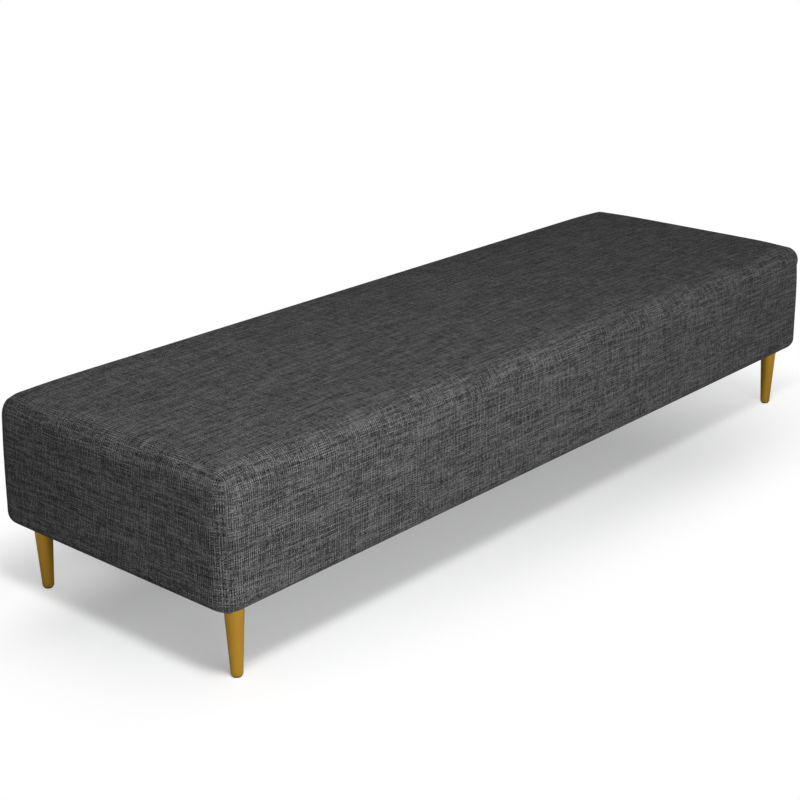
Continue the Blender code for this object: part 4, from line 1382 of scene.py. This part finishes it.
@dataclass
class Legs:
    """Tapered round legs, each with its glide, threaded bolt and tee nut."""

    x: float = 0.9515
    y: float = 0.2785
    height: float = 0.1524
    top_radius: float = 0.0198
    foot_radius: float = 0.0116
    foot_rounding: float = 0.0022
    glide_radius: float = 0.009
    glide_height: float = 0.003
    pin_radius: float = 0.0015
    pin_top: float = 0.013
    clearance: float = 0.0003
    bolt_radius: float = 0.004
    bolt_in_leg: float = 0.025
    bolt_top: float = 0.1858
    bolt_tip: float = 0.0010
    thread_pitch: float = 0.00125
    thread_depth: float = 0.00055

    def turning(
        self, kind: str, corner: Corner, radius: Array, height: Array, steps: int, sharp: float
    ) -> Piece:
        """A turned piece on a leg's axis, sharp where faces meet at more than some degrees."""
        name = f"{kind}_{corner.label}"
        piece = turned_piece(name, radius, height, corner.at(self.x, self.y), steps)
        piece.data.set_sharp_from_angle(angle=math.radians(sharp))
        return piece

    def leg(self, corner: Corner) -> Piece:
        """A leg: its bolt's bore, its top, its tapered side, its round foot and its pin's hole."""
        foot, pin_top = self.glide_height + self.clearance, self.pin_top + self.clearance
        bore, hole = self.bolt_radius + self.clearance, self.pin_radius + self.clearance
        deep = self.height - self.bolt_in_leg - self.clearance
        corners = [
            (0.0, deep, 0.0),
            (bore, deep, 0.0),
            (bore, self.height, 0.0004),
            (self.top_radius, self.height, 0.0006),
            (self.foot_radius, foot, self.foot_rounding),
            (hole, foot, 0.0),
            (hole, pin_top, 0.0),
            (0.0, pin_top, 0.0),
        ]
        profile = rounded_profile(corners)
        return self.turning("gold_leg", corner, profile[:, :1], profile[:, 1:], 72, 50.0)

    def glide(self, corner: Corner) -> Piece:
        """A glide: its pin, its flange and its slightly domed foot."""
        corners = [
            (0.0, self.pin_top, 0.0),
            (self.pin_radius, self.pin_top, 0.0003),
            (self.pin_radius, self.glide_height, 0.0),
            (self.glide_radius, self.glide_height, 0.0004),
            (self.glide_radius, 0.0, 0.0010),
            (0.0, 0.0, 0.0),
        ]
        profile = rounded_profile(corners)
        return self.turning("floor_glide", corner, profile[:, :1], profile[:, 1:], 48, 50.0)

    def bolt(self, corner: Corner) -> Piece:
        """A threaded bolt: its radius falls and rises as a triangle wave of height less turn."""
        bottom = self.height - self.bolt_in_leg
        rows = int((self.bolt_top - bottom) / self.thread_pitch * 5)
        z = np.linspace(self.bolt_top, bottom, rows)[:, None]
        phase = (z / self.thread_pitch - np.linspace(0.0, 1.0, 25)) % 1.0
        away = np.minimum(self.bolt_top - z, z - bottom)
        tip = self.bolt_tip * np.clip(1 - away / self.bolt_tip, 0.0, 1.0)
        radius = self.bolt_radius - self.thread_depth * np.abs(2 * phase - 1) - tip
        radius = np.pad(radius, ((1, 1), (0, 0)))
        z = np.concatenate([z[:1], z, z[-1:]])
        return self.turning("threaded_bolt", corner, radius, z, 24, 40.0)


# The room


@dataclass(frozen=True)
class Softbox:
    """A rectangular lamp.

    Its power makes a white surface that faces it, at the place that it points to, as bright as
    its level: the level times pi squared times the distance squared.
    """

    name: str
    at: tuple[float, float, float]
    towards: tuple[float, float, float]
    size: tuple[float, float]
    level: float

    def hang(self) -> None:
        """Puts the lamp in the scene, turned to its place."""
        data = bpy.data.lights.new(self.name, "AREA")
        data.shape = "RECTANGLE"
        data.size, data.size_y = self.size
        line = np.subtract(self.towards, self.at)
        distance = float(np.linalg.norm(line))
        data.energy = self.level * math.pi**2 * distance**2
        made = bpy.data.objects.new(self.name, data)
        made.location = self.at
        pitch = math.asin(line[2] / distance)
        made.rotation_euler = (QUARTER + pitch, 0.0, -math.atan2(line[0], line[1]))
        bpy.context.scene.collection.objects.link(made)


@dataclass
class Studio:
    """Pale floor, soft lamps and the camera.

    The lamps are a key above the left front, a low one before the front, a fill from the right
    and a weak one from the left.
    """

    camera_at: tuple[float, float, float] = (-2.7518, -2.2899, 1.5153)
    camera_yaw: float = 49.5766
    camera_pitch: float = 20.0967
    lens: float = 74.625
    shift: float = -0.04523
    world_strength: float = 0.20
    floor_half: float = 45.0
    floor_level: float = -0.0002
    floor_lit: float = 0.72
    floor_bounce: float = 0.38
    floor_tint: Colour = (0.985, 0.99, 1.0)
    floor_glow: float = 0.275
    # Painted light: extra floor glow for the camera towards the right end and behind the left end.
    floor_glow_right: float = 0.32
    floor_glow_back: float = 0.20
    lamps: tuple[Softbox, ...] = (
        Softbox("key", (-1.50, -1.25, 2.50), (-0.90, -0.2, 0.43), (0.55, 0.55), 0.81),
        Softbox("low_front", (-1.25, -2.9, 0.85), (-0.75, -0.33, 0.29), (2.4, 1.0), 0.90),
        Softbox("right", (4.2, -1.2, 0.9), (0.9, -0.2, 0.1), (2.0, 1.0), 0.20),
        Softbox("left", (-3.2, -2.2, 0.9), (-1.0, -0.3, 0.28), (1.2, 0.8), 0.035),
    )

    def camera(self) -> None:
        """Puts the camera at the photograph's place, turned by its yaw and pitch."""
        data = bpy.data.cameras.new("camera")
        data.sensor_width, data.lens, data.shift_x = 36.0, self.lens, self.shift
        data.clip_start, data.clip_end = 0.05, 200.0
        made = bpy.data.objects.new("camera", data)
        made.location = self.camera_at
        pitch, yaw = math.radians(90 - self.camera_pitch), math.radians(self.camera_yaw)
        made.rotation_euler = (pitch, 0.0, -yaw)
        bpy.context.scene.collection.objects.link(made)
        bpy.context.scene.camera = made

    def world(self) -> None:
        """A soft white surround that shows as plain white behind the bench and in its gloss."""
        recipe = Recipe("surround", world=True)
        bpy.context.scene.world = recipe.owner
        _, seen = recipe.rays()
        lit, shown = (
            recipe.add("Background", {"Color": WHITE, "Strength": strength})
            for strength in (self.world_strength, 1.0)
        )
        recipe.surface(recipe.add("MixShader", {0: seen, 1: lit, 2: shown}))

    def floor_finish(self) -> Material:
        """White paper floor: lit near the bench, where it keeps the shadow, plain white beyond."""
        recipe = Recipe("paper_floor")
        x, y, _ = recipe.split(recipe.place())
        beyond_x, beyond_y = (abs(x) - 1.0).larger(0.0), (abs(y) - 0.33).larger(0.0)
        plain = (beyond_x * beyond_x + beyond_y * beyond_y).root().spread(0.0, 0.30)
        watched, seen = recipe.rays()
        tooth = recipe.noise(recipe.place(), 60.0, 3.0)
        paper = recipe.blend(tooth, (self.floor_lit,) * 3, (self.floor_lit * 0.985,) * 3)
        # Painted light: for the camera the floor glows more from x 0.4 to 1.1, and behind the left
        # end, paling the bench's shadow there.
        glow = x.spread(0.4, 1.1, self.floor_glow, self.floor_glow + self.floor_glow_right)
        glow += y.spread(0.10, 0.30) * x.spread(-0.86, -0.70, self.floor_glow_back, 0.0)
        glow = recipe.blend(glow * watched, BLACK, self.floor_tint)
        glow = recipe.add("Emission", {"Color": glow})
        near = recipe.add("AddShader", {0: recipe.add("BsdfDiffuse", {"Color": paper}), 1: glow})
        white = recipe.add("Emission", {"Color": WHITE})
        shown = recipe.add("MixShader", {0: plain, 1: near, 2: white})
        bounce = recipe.add("BsdfDiffuse", {"Color": (*(self.floor_bounce,) * 3, 1.0)})
        return recipe.surface(recipe.add("MixShader", {0: seen, 1: bounce, 2: shown}))

    def build(self) -> None:
        """The camera, a broad level floor under the glides, the lamps and the surround."""
        self.camera()
        x = np.linspace(-self.floor_half, self.floor_half, 3)
        grid = np.stack(np.broadcast_arrays(x[:, None], x, self.floor_level), axis=-1)
        floor = grid_piece("floor", [from_above(grid)])
        floor.data.materials.append(self.floor_finish())
        for lamp in self.lamps:
            lamp.hang()
        self.world()


@dataclass
class Bench:
    """The whole bench: builds each sub-assembly and dresses it."""

    body: PaddedBody = field(default_factory=PaddedBody)
    legs: Legs = field(default_factory=Legs)
    webbing: Webbing = field(default_factory=Webbing)
    cloth: SpringCloth = field(default_factory=SpringCloth)
    under: Underside = field(default_factory=Underside)

    def upholster(self) -> None:
        """Covers, seam threads and foam."""
        weave = SlubWeave("charcoal_slub_weave", (0.062, 0.062, 0.062)).material()
        colours = (0.78, 0.74, 0.60), (0.7176, 0.6216, 0.396), (0.40, 0.33, 0.20)
        foam = OpenFoam("open_foam", *colours).material()
        thread = SpunCloth("seam_thread", (0.045, 0.045, 0.045)).material()
        self.body.settle()
        cover, flat = self.body.main_panel()
        hand_over(cover, weave, "upholstery_fabric", "cover_main")
        for end, direction in (("left", -1), ("right", 1)):
            panel, flat = self.body.end_panel(end, direction)
            hand_over(panel, weave, "upholstery_fabric", f"cover_end_{end}")
            hand_over(self.body.seam_thread(end, direction), thread, "upholstery_fabric")
        hand_over(self.body.seat_foam(), foam, "foam", "seat_foam")
        for place, pad in SidePads(self.body).pads().items():
            hand_over(pad, foam, "foam", f"side_pad_{place}")

    def close_underneath(self) -> None:
        """Dust cover and its staples."""
        cloth = SpunCloth("dust_sheet_cloth", (0.010, 0.010, 0.011)).material()
        sheet = hand_over(self.under.cloth(), cloth, "dust_cloth", "dust_cover")
        wire = PlatedSteel("staple_wire", (0.55, 0.55, 0.56)).material()
        hand_over(self.under.staples(), wire, "zinc_steel")

    def web(self) -> None:
        """Straps and the cloth over them."""
        colours = (0.13, 0.115, 0.095), (0.30, 0.05, 0.035), (0.02, 0.018, 0.015)
        finish = StrapWeave("webbing_weave", *colours, self.webbing.width / 2).material()
        for kind, node, piece, length in self.webbing.straps():
            hand_over(piece, finish, "webbing", node)
        # The hessian's gap share is painted shade between its yarns.
        hessian = SlubWeave(
            "hessian", (0.40, 0.28, 0.15), pitch=0.0026, lengthwise_slub=0.08, cross_slub=0.08,
            yarn_contrast=1.2, cross_contrast=1.2, pair_contrast=0.3, cross_pair_contrast=0.3,
            float_contrast=0.3, bundle_contrast=0.6, gap=0.25, relief=0.0006, sheen=0.0,
        ).material()
        sheet = hand_over(self.cloth.cloth(), hessian, "spring_cloth", "spring_cloth")

    def dress_frame(self) -> None:
        """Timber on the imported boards, each along its own grain."""
        early, late = (0.60, 0.42, 0.25), (0.40, 0.24, 0.11)
        blocks = [f"leg_block_{corner.label}" for corner in Corner]
        stretchers = [f"stretcher_{number}" for number in (1, 2, 3)]
        boards = {
            Grain.LENGTHWISE: ["rail_front", "rail_back", *blocks],
            Grain.DEPTHWISE: ["rail_left", "rail_right", *stretchers],
            Grain.RISING: ["corner_brace_front_right", "corner_brace_back_left"],
            Grain.FALLING: ["corner_brace_front_left", "corner_brace_back_right"],
        }
        for grain, nodes in boards.items():
            finish = SawnTimber(f"timber_{grain.name.lower()}", early, late, grain).material()
            for node in nodes:
                self.refinish(node, finish)

    def refinish(self, node: str, finish: Material) -> None:
        """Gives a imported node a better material, in its own slots."""
        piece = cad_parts[node]
        if not piece.material_slots:
            piece.data.materials.append(finish)
        for slot in piece.material_slots:
            slot.material = finish
        LOG.info("%s: refinished with %s", node, finish.name)

    def stand(self) -> None:
        """Legs, glides, bolts and tee nuts."""
        gold = GoldSatin("satin_gold", (0.43, 0.24, 0.030), (0.30, 0.155, 0.012)).material()
        nylon = MouldedNylon("glide_nylon", (0.022, 0.022, 0.022)).material()
        zinc = PlatedSteel("zinc_plate", (0.62, 0.62, 0.60)).material()
        for corner in Corner:
            label = corner.label
            hand_over(self.legs.leg(corner), gold, "leg_finish", f"leg_{label}")
            hand_over(self.legs.glide(corner), nylon, "glide_plastic", f"glide_{label}")
            hand_over(self.legs.bolt(corner), zinc, "zinc_steel", f"hanger_bolt_{label}")
            self.refinish(f"tee_nut_{label}", zinc)


def main() -> None:
    """Builds the bench and the studio."""
    logging.basicConfig(level=logging.INFO, format="%(message)s")
    bpy.context.scene.view_settings.view_transform = "Standard"
    bench = Bench()
    bench.dress_frame()
    bench.web()
    bench.upholster()
    bench.close_underneath()
    bench.stand()
    Studio().build()


if __name__ == "__main__":
    main()
